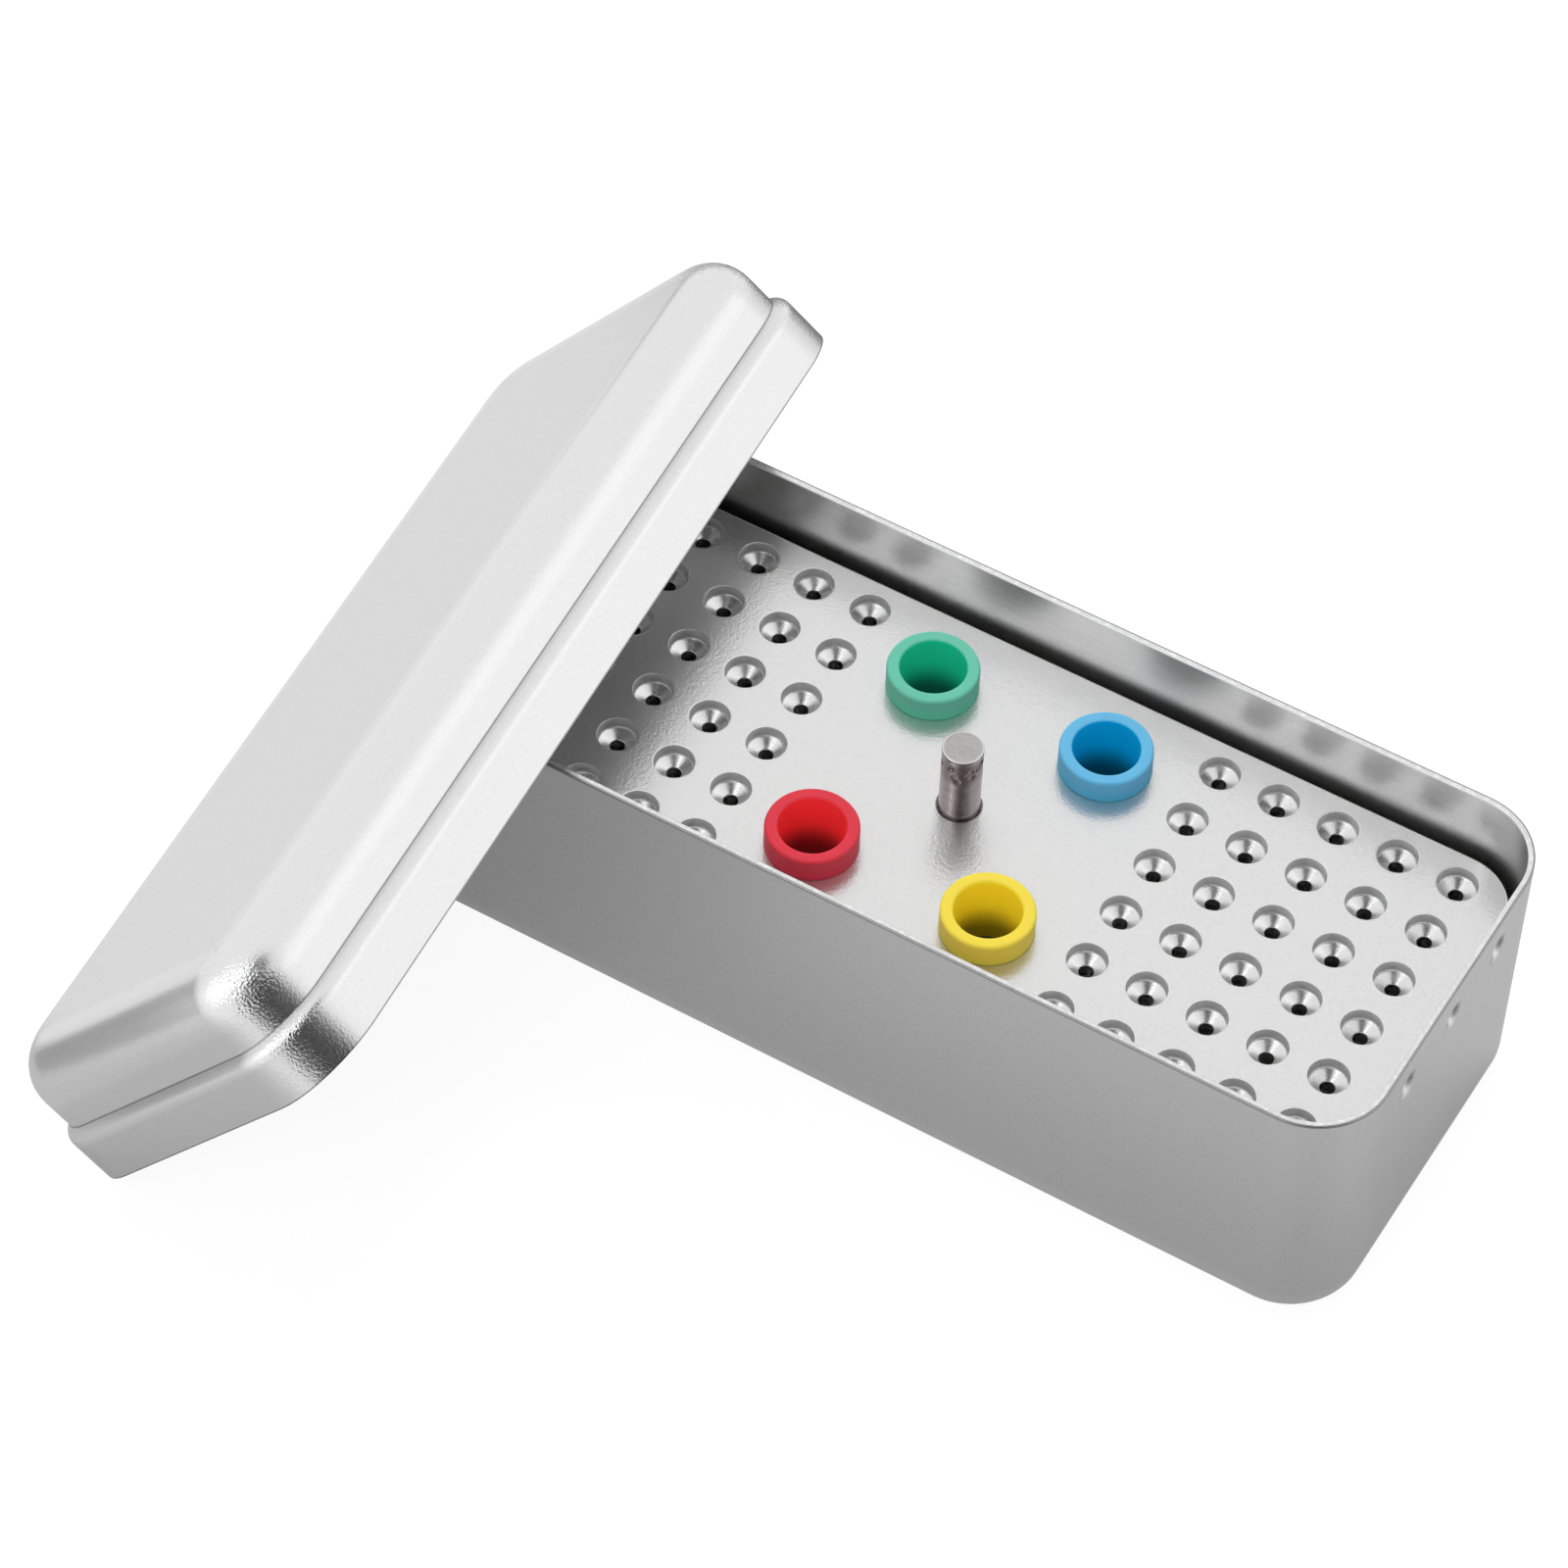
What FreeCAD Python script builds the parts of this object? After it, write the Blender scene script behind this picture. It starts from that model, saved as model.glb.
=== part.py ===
import FreeCAD, Part
import math
import os

# Endodontic file box: a drawn aluminium case, a drilled tray plate that stands in it on four
# legs, four coloured silicone sleeves and a steel lifting pin in the plate, and a drawn lid
# that leans across the left end of the case.
# Millimetres. The origin is the middle of the case's underside, +X along the case, +Z up,
# and the side that faces the viewer is -Y.

# Sheet of case and lid
SHEET = 0.8

# Case
CASE_LENGTH = 125.0
CASE_WIDTH = 51.8
CASE_HEIGHT = 36.8
CASE_CORNER_RADIUS = 9.0
CASE_FOOT_RADIUS = 4.0

# Retaining dents in both end walls
DENT_COUNT = 3
DENT_PITCH = 11.0
DENT_BELOW_RIM = 5.2
DENT_MOUTH_RADIUS = 1.9
DENT_FLOOR_RADIUS = 0.7
DENT_DEPTH = 0.7

# Lid
LID_CLEARANCE = 0.2
LID_HEIGHT = 17.1
LID_SKIRT_HEIGHT = 6.5
LID_STEP_INSET = 1.3
LID_STEP_HEIGHT = 0.9
LID_CREASE_BEND_RADIUS = 0.5
LID_STEP_BEND_RADIUS = 1.2
LID_TOP_RADIUS = 5.8
LEAN_TILT = 51.1
LEAN_YAW = 4.7
LEAN_SHIFT = -17.1
LEAN_GAP = 0.3

# Tray plate
PLATE_THICKNESS = 4.0
PLATE_BELOW_RIM = 9.0
PLATE_GAP = 1.1
PLATE_EDGE_CHAMFER = 0.3

# File holes: two fields of columns and rows
FIELD_COLUMNS = 5
FIELD_ROWS = 6
FIELD_INNER_OFFSET = 23.2
FIELD_END_MARGIN = 7.0
FIELD_SIDE_MARGIN = 4.35
HOLE_MOUTH_RADIUS = 2.4
HOLE_MOUTH_DEPTH = 1.5
HOLE_RADIUS = 0.85
DRILL_POINT_ANGLE = 135.0

# Silicone sleeves
SLEEVE_RADIUS = 5.5
SLEEVE_BORE_RADIUS = 3.9
SLEEVE_NECK_RADIUS = 5.0
SLEEVE_STAND = 3.3
SLEEVE_TAIL = 3.0
SLEEVE_ROUNDING = 0.45
SLEEVE_OFFSET_X = 11.4
SLEEVE_SIDE_MARGIN = 10.3
SLEEVE_FIT = 0.05

# Lifting pin with its washer and nut
PIN_RADIUS = 2.4
PIN_STAND = 10.2
PIN_CHAMFER = 0.25
PIN_SEAT_RADIUS = 2.65
PIN_SEAT_DEPTH = 0.3
STUD_RADIUS = 2.0
STUD_OVERHANG = 1.0
CRIMP_MARKS = 7
CRIMP_ROWS = 2
CRIMP_BELOW_TOP = 2.0
CRIMP_ROW_PITCH = 1.7
CRIMP_TOOL_RADIUS = 1.0
CRIMP_DEPTH = 0.16
WASHER_RADIUS = 4.5
WASHER_THICKNESS = 0.8
NUT_ACROSS_FLATS = 7.0
NUT_THICKNESS = 3.2

# Legs under the plate
LEG_RADIUS = 2.6
LEG_CHAMFER = 0.4
LEG_WALL_CLEARANCE = 0.5
SPIGOT_RADIUS = 1.6
SPIGOT_LENGTH = 2.2
SPIGOT_HOLE_SPARE = 0.3

# Radial play of pieces that are fitted into each other
FIT = 0.03

# Heights and half sizes that follow from the values above
CASE_HALF_X = CASE_LENGTH / 2
CASE_HALF_Y = CASE_WIDTH / 2
PLATE_TOP = CASE_HEIGHT - PLATE_BELOW_RIM
PLATE_BOTTOM = PLATE_TOP - PLATE_THICKNESS
PLATE_HALF_X = CASE_HALF_X - SHEET - PLATE_GAP
PLATE_HALF_Y = CASE_HALF_Y - SHEET - PLATE_GAP
PLATE_CORNER_RADIUS = CASE_CORNER_RADIUS - SHEET - PLATE_GAP
COLUMN_PITCH = (PLATE_HALF_X - FIELD_END_MARGIN - FIELD_INNER_OFFSET) / (FIELD_COLUMNS - 1)
ROW_PITCH = 2 * (PLATE_HALF_Y - FIELD_SIDE_MARGIN) / (FIELD_ROWS - 1)
SLEEVE_OFFSET_Y = PLATE_HALF_Y - SLEEVE_SIDE_MARGIN
PIN_SEAT = PLATE_TOP - PIN_SEAT_DEPTH
LID_GROWTH = LID_CLEARANCE + SHEET
LID_HALF_LENGTH = CASE_HALF_X + LID_GROWTH
LID_HALF_WIDTH = CASE_HALF_Y + LID_GROWTH
LID_CORNER_RADIUS = CASE_CORNER_RADIUS + LID_GROWTH

UP = FreeCAD.Vector(0, 0, 1)


def vec(x, y, z=0.0):
    return FreeCAD.Vector(x, y, z)


def unit(start, end):
    step = end - start
    return step / step.Length


def offset_route(route, distance):
    """Shift an open route of points sideways, to the left of its direction, with mitred corners."""
    normals = []
    for start, end in zip(route, route[1:]):
        along = unit(start, end)
        normals.append(vec(-along.y, along.x))
    shifted = [route[0] + normals[0] * distance]
    for corner, before, after in zip(route[1:], normals, normals[1:]):
        miter = (before + after) / (1 + before.dot(after))
        shifted.append(corner + miter * distance)
    shifted.append(route[-1] + normals[-1] * distance)
    return shifted


def rounded_route(route, radii):
    """Edges of an open route of points whose inner corners are rounded by the given radii."""
    edges = []
    reached = route[0]
    for before, corner, after, radius in zip(route, route[1:], route[2:], radii):
        into = unit(before, corner)
        out = unit(corner, after)
        turn = math.acos(max(-1.0, min(1.0, into.dot(out))))
        trim = radius * math.tan(turn / 2)
        start = corner - into * trim
        end = corner + out * trim
        inward = out - into
        middle = corner + inward / inward.Length * radius * (1 / math.cos(turn / 2) - 1)
        edges.append(Part.LineSegment(reached, start).toShape())
        edges.append(Part.Arc(start, middle, end).toShape())
        reached = end
    edges.append(Part.LineSegment(reached, route[-1]).toShape())
    return edges


def sheet_section(route, bend_radii, thickness):
    """Section of bent sheet: constant thickness around a centre line with rounded bends."""
    sides = []
    for side in (1, -1):
        line = offset_route(route, side * thickness / 2)
        radii = []
        for before, corner, after, radius in zip(route, route[1:], route[2:], bend_radii):
            left_turn = (corner - before).cross(after - corner).z > 0
            radii.append(radius - side * thickness / 2 if left_turn else radius + side * thickness / 2)
        sides.append((line, rounded_route(line, radii)))
    (left, left_edges), (right, right_edges) = sides
    cap_end = Part.LineSegment(left[-1], right[-1]).toShape()
    cap_start = Part.LineSegment(right[0], left[0]).toShape()
    wire = Part.Wire(Part.__sortEdges__(left_edges + [cap_end] + right_edges + [cap_start]))
    return Part.Face(wire)


def standing(face):
    """Turn a section drawn as (distance from the axis, height) from the XY plane into XZ."""
    turned = face.copy()
    turned.rotate(vec(0, 0), vec(1, 0), 90)
    return turned


def drawn_shell(section, panel_height, half_x, half_y, corner_radius):
    """Deep drawn shell on a rounded rectangle, from one section through its wall.

    The section starts on the axis of a plan corner and runs out to the wall. It is revolved
    round the four corners, drawn out along the four sides, and the middle panel closes it.
    """
    profile = standing(section)
    centre_x = half_x - corner_radius
    centre_y = half_y - corner_radius
    pieces = [Part.makeBox(2 * centre_x, 2 * centre_y, SHEET, vec(-centre_x, -centre_y, panel_height))]
    for quarter in range(4):
        sign_x = 1 if quarter in (0, 3) else -1
        sign_y = 1 if quarter in (0, 1) else -1
        corner = profile.copy()
        corner.rotate(vec(0, 0), UP, 90 * quarter)
        corner.translate(vec(sign_x * centre_x, sign_y * centre_y))
        pivot = vec(sign_x * centre_x, sign_y * centre_y)
        pieces.append(corner.revolve(pivot, UP, 90))
        along = vec(0, -2 * centre_y) if quarter == 0 else vec(0, 2 * centre_y)
        if quarter in (1, 3):
            along = vec(2 * centre_x, 0) if quarter == 1 else vec(-2 * centre_x, 0)
        pieces.append(corner.extrude(along))
    return pieces[0].multiFuse(pieces[1:]).removeSplitter()


def rounded_block(half_x, half_y, radius, bottom, height):
    block = Part.makeBox(2 * half_x, 2 * half_y, height, vec(-half_x, -half_y, bottom))
    upright = [edge for edge in block.Edges if abs(edge.tangentAt(edge.FirstParameter).z) > 0.99]
    return block.makeFillet(radius, upright)


def turned(points):
    """Turned solid from (radius, height) points, in order round the half section."""
    outline = [vec(radius, 0, height) for radius, height in points]
    return Part.Face(Part.makePolygon(outline + outline[:1])).revolve(vec(0, 0), UP, 360)


def one_solid(shape):
    return shape.Solids[0] if len(shape.Solids) == 1 else shape


def pressed_dent():
    """Dent pressed into an upright wall: mouth on the plane x = 0, bump towards -X."""
    skirt = DENT_MOUTH_RADIUS + SHEET
    outside = [
        vec(skirt, 0),
        vec(DENT_MOUTH_RADIUS, 0),
        vec(DENT_FLOOR_RADIUS, -DENT_DEPTH),
        vec(0, -DENT_DEPTH),
    ]
    inside = offset_route(outside, SHEET)
    dent = turned([(point.x, point.y) for point in outside + inside[::-1]])
    dent.rotate(vec(0, 0), vec(0, 1), 90)
    return dent, skirt


def make_case():
    """Case: flat floor, rounded foot, upright wall, and a row of dents in each end wall."""
    middle_radius = CASE_CORNER_RADIUS - SHEET / 2
    route = [vec(0, SHEET / 2), vec(middle_radius, SHEET / 2), vec(middle_radius, CASE_HEIGHT)]
    section = sheet_section(route, [CASE_FOOT_RADIUS - SHEET / 2], SHEET)
    shell = drawn_shell(section, 0.0, CASE_HALF_X, CASE_HALF_Y, CASE_CORNER_RADIUS)
    dent, skirt = pressed_dent()
    blanks = []
    dents = []
    for end in (0, 180):
        for place in range(DENT_COUNT):
            y = (place - (DENT_COUNT - 1) / 2) * DENT_PITCH
            spot = vec(CASE_HALF_X, y, CASE_HEIGHT - DENT_BELOW_RIM)
            blank = Part.makeCylinder(skirt, 3 * SHEET, spot - vec(2 * SHEET, 0), vec(1, 0))
            bump = dent.copy()
            bump.translate(spot)
            for piece, heap in ((blank, blanks), (bump, dents)):
                piece.rotate(vec(0, 0), UP, end)
                heap.append(piece)
    shell = shell.cut(Part.makeCompound(blanks))
    return one_solid(shell.multiFuse(dents).removeSplitter())


def make_lid():
    """Lid: skirt that goes over the rim, inward step, upper wall and well rounded top edge."""
    skirt_radius = LID_CORNER_RADIUS - SHEET / 2
    wall_radius = skirt_radius - LID_STEP_INSET
    panel = LID_HEIGHT - SHEET / 2
    route = [
        vec(0, panel),
        vec(wall_radius, panel),
        vec(wall_radius, LID_SKIRT_HEIGHT + LID_STEP_HEIGHT),
        vec(skirt_radius, LID_SKIRT_HEIGHT),
        vec(skirt_radius, 0),
    ]
    bends = [LID_TOP_RADIUS - SHEET / 2, LID_CREASE_BEND_RADIUS, LID_STEP_BEND_RADIUS]
    section = sheet_section(route, bends, SHEET)
    return drawn_shell(section, LID_HEIGHT - SHEET, LID_HALF_WIDTH, LID_HALF_LENGTH, LID_CORNER_RADIUS)


def leaning_place():
    """Place of the leaning lid: left skirt edge on the table, ceiling against the case's rim."""
    tilt = math.radians(LEAN_TILT)
    yaw = math.radians(LEAN_YAW)
    outward = vec(-math.sin(tilt) * math.cos(yaw), -math.sin(tilt) * math.sin(yaw), math.cos(tilt))
    centre_x = CASE_HALF_X - CASE_CORNER_RADIUS
    centre_y = CASE_HALF_Y - CASE_CORNER_RADIUS
    rim_corner = vec(
        -centre_x - CASE_CORNER_RADIUS * math.cos(yaw),
        -centre_y - CASE_CORNER_RADIUS * math.sin(yaw),
        CASE_HEIGHT,
    )
    ceiling = LID_HEIGHT - SHEET - LEAN_GAP
    height = LID_HALF_WIDTH * math.sin(tilt)
    known = outward.y * LEAN_SHIFT + outward.z * height
    x = (outward.dot(rim_corner) - ceiling - known) / outward.x
    turn = FreeCAD.Rotation(UP, LEAN_YAW).multiply(FreeCAD.Rotation(vec(0, 1), -LEAN_TILT))
    return FreeCAD.Placement(vec(x, LEAN_SHIFT, height), turn)


def hole_places():
    """Middles of the file holes of both fields."""
    places = []
    for side in (-1, 1):
        for column in range(FIELD_COLUMNS):
            for row in range(FIELD_ROWS):
                x = side * (FIELD_INNER_OFFSET + column * COLUMN_PITCH)
                places.append(vec(x, (row - (FIELD_ROWS - 1) / 2) * ROW_PITCH))
    return places


def leg_places():
    """Legs stand on the flat of the floor by its end roundings, between the two outer rows."""
    x = CASE_HALF_X - CASE_FOOT_RADIUS - LEG_RADIUS - LEG_WALL_CLEARANCE
    y = (FIELD_ROWS - 2) / 2 * ROW_PITCH
    return {
        "leg_front_left": vec(-x, -y),
        "leg_front_right": vec(x, -y),
        "leg_back_left": vec(-x, y),
        "leg_back_right": vec(x, y),
    }


def sleeve_places():
    return {
        "sleeve_red": vec(-SLEEVE_OFFSET_X, -SLEEVE_OFFSET_Y),
        "sleeve_yellow": vec(SLEEVE_OFFSET_X, -SLEEVE_OFFSET_Y),
        "sleeve_blue": vec(SLEEVE_OFFSET_X, SLEEVE_OFFSET_Y),
        "sleeve_green": vec(-SLEEVE_OFFSET_X, SLEEVE_OFFSET_Y),
    }


def file_hole():
    """Drilled seat for a file's handle, its drill point, and the small hole for the shank."""
    half_angle = math.radians(DRILL_POINT_ANGLE / 2)
    cone_depth = (HOLE_MOUTH_RADIUS - HOLE_RADIUS) / math.tan(half_angle)
    cone_top = PLATE_TOP - HOLE_MOUTH_DEPTH
    return turned([
        (0, PLATE_BOTTOM - 1),
        (HOLE_RADIUS, PLATE_BOTTOM - 1),
        (HOLE_RADIUS, cone_top - cone_depth),
        (HOLE_MOUTH_RADIUS, cone_top),
        (HOLE_MOUTH_RADIUS, PLATE_TOP + 1),
        (0, PLATE_TOP + 1),
    ])


def copies(shape, places):
    made = []
    for place in places:
        piece = shape.copy()
        piece.translate(place)
        made.append(piece)
    return made


def make_plate():
    """Tray plate with its file holes, sleeve holes, pin seat and blind holes for the legs."""
    plate = rounded_block(PLATE_HALF_X, PLATE_HALF_Y, PLATE_CORNER_RADIUS, PLATE_BOTTOM, PLATE_THICKNESS)
    top_edges = [edge for edge in plate.Edges if edge.BoundBox.ZMin > PLATE_TOP - 0.01]
    plate = plate.makeChamfer(PLATE_EDGE_CHAMFER, top_edges)
    through = PLATE_THICKNESS + 2
    sleeve_hole = Part.makeCylinder(SLEEVE_NECK_RADIUS + SLEEVE_FIT, through, vec(0, 0, PLATE_BOTTOM - 1))
    leg_hole = Part.makeCylinder(
        SPIGOT_RADIUS + FIT, SPIGOT_LENGTH + SPIGOT_HOLE_SPARE + 1, vec(0, 0, PLATE_BOTTOM - 1))
    stud_hole = Part.makeCylinder(STUD_RADIUS + FIT, through, vec(0, 0, PLATE_BOTTOM - 1))
    pin_seat = Part.makeCylinder(PIN_SEAT_RADIUS, PIN_SEAT_DEPTH + 1, vec(0, 0, PIN_SEAT))
    tools = copies(file_hole(), hole_places())
    tools += copies(sleeve_hole, sleeve_places().values())
    tools += copies(leg_hole, leg_places().values())
    tools += [stud_hole.fuse(pin_seat)]
    return one_solid(plate.cut(Part.makeCompound(tools)))


def make_sleeve():
    """Silicone sleeve: rounded head on the plate, and a neck that reaches through and below it."""
    top = PLATE_TOP + SLEEVE_STAND
    bottom = PLATE_BOTTOM - SLEEVE_TAIL
    head = Part.makeCylinder(SLEEVE_RADIUS, SLEEVE_STAND, vec(0, 0, PLATE_TOP))
    neck = Part.makeCylinder(SLEEVE_NECK_RADIUS, PLATE_TOP - bottom, vec(0, 0, bottom))
    bore = Part.makeCylinder(SLEEVE_BORE_RADIUS, top - bottom + 2, vec(0, 0, bottom - 1))
    sleeve = head.fuse(neck).cut(bore).removeSplitter()
    top_edges = [edge for edge in sleeve.Edges if edge.BoundBox.ZMin > top - 0.01]
    return one_solid(sleeve.makeFillet(SLEEVE_ROUNDING, top_edges))


def make_pin():
    """Lifting pin: chamfered head with a crimped band, shoulder on its seat, threaded stud."""
    top = PLATE_TOP + PIN_STAND
    stud_end = PLATE_BOTTOM - WASHER_THICKNESS - NUT_THICKNESS - STUD_OVERHANG
    pin = turned([
        (0, stud_end),
        (STUD_RADIUS - PIN_CHAMFER, stud_end),
        (STUD_RADIUS, stud_end + PIN_CHAMFER),
        (STUD_RADIUS, PIN_SEAT),
        (PIN_RADIUS, PIN_SEAT),
        (PIN_RADIUS, top - PIN_CHAMFER),
        (PIN_RADIUS - PIN_CHAMFER, top),
        (0, top),
    ])
    marks = []
    reach = PIN_RADIUS + CRIMP_TOOL_RADIUS - CRIMP_DEPTH
    for row in range(CRIMP_ROWS):
        for mark in range(CRIMP_MARKS):
            angle = 2 * math.pi * (mark + row / CRIMP_ROWS) / CRIMP_MARKS
            height = top - CRIMP_BELOW_TOP - row * CRIMP_ROW_PITCH
            spot = vec(reach * math.cos(angle), reach * math.sin(angle), height)
            marks.append(Part.makeSphere(CRIMP_TOOL_RADIUS, spot))
    return one_solid(pin.cut(Part.makeCompound(marks)))


def make_washer():
    bottom = PLATE_BOTTOM - WASHER_THICKNESS
    outer = Part.makeCylinder(WASHER_RADIUS, WASHER_THICKNESS, vec(0, 0, bottom))
    return outer.cut(Part.makeCylinder(STUD_RADIUS + FIT, WASHER_THICKNESS, vec(0, 0, bottom)))


def make_nut():
    """Hexagon nut with its corners turned off on the free side."""
    top = PLATE_BOTTOM - WASHER_THICKNESS
    bottom = top - NUT_THICKNESS
    corner = NUT_ACROSS_FLATS / math.sqrt(3)
    outline = []
    for side in range(6):
        angle = math.radians(60 * side)
        outline.append(vec(corner * math.cos(angle), corner * math.sin(angle), bottom))
    body = Part.Face(Part.makePolygon(outline + outline[:1])).extrude(UP * NUT_THICKNESS)
    flat = NUT_ACROSS_FLATS / 2
    turned_off = turned([
        (0, bottom),
        (flat, bottom),
        (flat + NUT_THICKNESS, bottom + NUT_THICKNESS / math.sqrt(3)),
        (flat + NUT_THICKNESS, top),
        (0, top),
    ])
    bore = Part.makeCylinder(STUD_RADIUS + FIT, NUT_THICKNESS, vec(0, 0, bottom))
    return one_solid(body.common(turned_off).cut(bore))


def make_leg():
    """Turned leg from the case's floor to the plate, with a spigot into the plate."""
    return turned([
        (0, SHEET),
        (LEG_RADIUS - LEG_CHAMFER, SHEET),
        (LEG_RADIUS, SHEET + LEG_CHAMFER),
        (LEG_RADIUS, PLATE_BOTTOM),
        (SPIGOT_RADIUS, PLATE_BOTTOM),
        (SPIGOT_RADIUS, PLATE_BOTTOM + SPIGOT_LENGTH),
        (0, PLATE_BOTTOM + SPIGOT_LENGTH),
    ])


def all_nodes():
    lid = make_lid()
    lid.Placement = leaning_place()
    nodes = {
        "case": make_case(),
        "lid": lid,
        "tray_plate": make_plate(),
        "lifting_pin": make_pin(),
        "pin_washer": make_washer(),
        "pin_nut": make_nut(),
    }
    leg = make_leg()
    for name, place in leg_places().items():
        nodes[name] = copies(leg, [place])[0]
    sleeve = make_sleeve()
    for name, place in sleeve_places().items():
        nodes[name] = copies(sleeve, [place])[0]
    return nodes


os.makedirs("parts", exist_ok=True)
for name, shape in all_nodes().items():
    box = shape.BoundBox
    print("%-16s valid %s solids %d volume %9.1f  x %7.2f %7.2f  y %7.2f %7.2f  z %7.2f %7.2f" % (
        name, shape.isValid(), len(shape.Solids), shape.Volume,
        box.XMin, box.XMax, box.YMin, box.YMax, box.ZMin, box.ZMax))
    shape.exportStep("parts/%s.step" % name)
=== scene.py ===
# %% [markdown]
# # An endodontic file box
# A small drawn aluminium case stands open. Inside it is a drilled tray plate with four coloured
# silicone sleeves and a steel pin to lift it by, and the lid leans across the left end of the case.
# The notebook loads the solids of the box as a fixed frame, sets up the studio, makes one finish
# after the other, and then replaces the solids that deserve a finer surface.

import math
import random

import bpy
from mathutils import Matrix, Vector


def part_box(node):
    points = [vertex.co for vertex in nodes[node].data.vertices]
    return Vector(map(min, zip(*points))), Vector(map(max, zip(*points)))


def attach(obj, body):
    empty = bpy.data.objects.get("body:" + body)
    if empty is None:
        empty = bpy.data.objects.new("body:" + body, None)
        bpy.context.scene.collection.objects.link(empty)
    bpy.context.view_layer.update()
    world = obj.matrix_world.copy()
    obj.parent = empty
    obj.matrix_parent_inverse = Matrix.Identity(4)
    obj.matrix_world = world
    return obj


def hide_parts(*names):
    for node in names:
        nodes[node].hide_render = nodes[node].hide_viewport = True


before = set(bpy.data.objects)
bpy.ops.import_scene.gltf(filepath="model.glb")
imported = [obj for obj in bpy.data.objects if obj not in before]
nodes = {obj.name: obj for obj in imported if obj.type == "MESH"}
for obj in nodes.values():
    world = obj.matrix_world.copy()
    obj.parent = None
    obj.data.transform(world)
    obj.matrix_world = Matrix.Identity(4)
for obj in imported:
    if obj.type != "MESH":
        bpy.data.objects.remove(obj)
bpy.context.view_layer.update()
scene = bpy.context.scene
MM = 0.001


def millimetres(values):
    return [round(value / MM, 2) for value in values]


print("solids:", ", ".join(sorted(nodes)))

# %% [markdown]
# ## Sizes
# Blender works in metres and a maker thinks in millimetres, so every size is written in
# millimetres and multiplied by `MM` once. These are the sizes of the box's own drawings. A size
# that can be read from a solid is read from it, so that the two can't drift apart.

# %% Sizes
SHEET = 0.8 * MM
case_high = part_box("case")[1]
CASE_HALF_X = case_high.x
CASE_HALF_Y = case_high.y
CASE_HEIGHT = case_high.z
CASE_CORNER = 9.0 * MM
CASE_FOOT = 4.0 * MM
DENT_PITCH = 11.0 * MM
DENT_HEIGHT = CASE_HEIGHT - 5.2 * MM
DENT_MOUTH = 1.9 * MM
DENT_FLOOR = 0.6 * MM
DENT_DEPTH = 0.72 * MM

LID_OVER_CASE = 1.0 * MM
LID_HALF_X = CASE_HALF_Y + LID_OVER_CASE
LID_HALF_Y = CASE_HALF_X + LID_OVER_CASE
LID_CORNER = CASE_CORNER + LID_OVER_CASE
LID_HEIGHT = 17.1 * MM
LID_SKIRT = 6.5 * MM
LID_STEP_INSET = 1.3 * MM
LID_STEP_HEIGHT = 0.9 * MM
LID_CREASE_BEND = 0.5 * MM
LID_STEP_BEND = 1.2 * MM
LID_TOP_BEND = 5.8 * MM
LID_TILT = math.radians(51.1)
LID_YAW = math.radians(4.7)
LID_PLACE = (-0.05473, -0.0171, 0.020935)

plate_low, plate_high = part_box("tray_plate")
PLATE_TOP = plate_high.z
PLATE_BOTTOM = plate_low.z
PLATE_HALF_X = plate_high.x
PLATE_HALF_Y = plate_high.y
PLATE_CORNER = 7.1 * MM
COLUMNS = 5
ROWS = 6
FIELD_INNER = 23.2 * MM
END_MARGIN = 7.0 * MM
SIDE_MARGIN = 4.35 * MM
COLUMN_PITCH = (PLATE_HALF_X - END_MARGIN - FIELD_INNER) / (COLUMNS - 1)
ROW_PITCH = 2 * (PLATE_HALF_Y - SIDE_MARGIN) / (ROWS - 1)
print("case, mm:", millimetres((2 * CASE_HALF_X, 2 * CASE_HALF_Y, CASE_HEIGHT)))
print("hole pitch, mm:", millimetres((COLUMN_PITCH, ROW_PITCH)))

# %% [markdown]
# ## Camera
# The photograph looks down on the box from the front right, 51 degrees above the table, through a
# long lens. Such a lens keeps the long edges of the case almost parallel. A camera in Blender
# looks along its own -Z, so its turn is a matrix with the right, up and backward directions as
# columns. The photographer held the camera two degrees off level, and the roll gives that.

# %% Camera
AZIMUTH = math.radians(29.242)
ELEVATION = math.radians(51.26)
ROLL = math.radians(2.002)
DISTANCE = 0.67936
SENSOR_WIDTH = 36
FOCAL_SHARE = 6054.265 / 1600
TARGET = Vector((-0.01937, -0.00633, 0.02540))

backward = Vector((
    math.sin(AZIMUTH) * math.cos(ELEVATION),
    -math.cos(AZIMUTH) * math.cos(ELEVATION),
    math.sin(ELEVATION),
))
level_right = Vector((math.cos(AZIMUTH), math.sin(AZIMUTH), 0))
level_up = backward.cross(level_right)
right = math.cos(ROLL) * level_right + math.sin(ROLL) * level_up
up = math.cos(ROLL) * level_up - math.sin(ROLL) * level_right
turn = Matrix((right, up, backward)).transposed().to_4x4()

camera_data = bpy.data.cameras.new("Camera")
camera_data.sensor_width = SENSOR_WIDTH
camera_data.sensor_fit = "HORIZONTAL"
camera_data.lens = FOCAL_SHARE * SENSOR_WIDTH
camera_data.clip_start = 0.01
camera_data.clip_end = 20
camera = bpy.data.objects.new("Camera", camera_data)
camera.matrix_world = Matrix.Translation(TARGET + backward * DISTANCE) @ turn
scene.collection.objects.link(camera)
scene.camera = camera
scene.view_settings.view_transform = "Standard"
print("camera at, mm:", millimetres(camera.location), "lens", round(camera_data.lens, 1))

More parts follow.
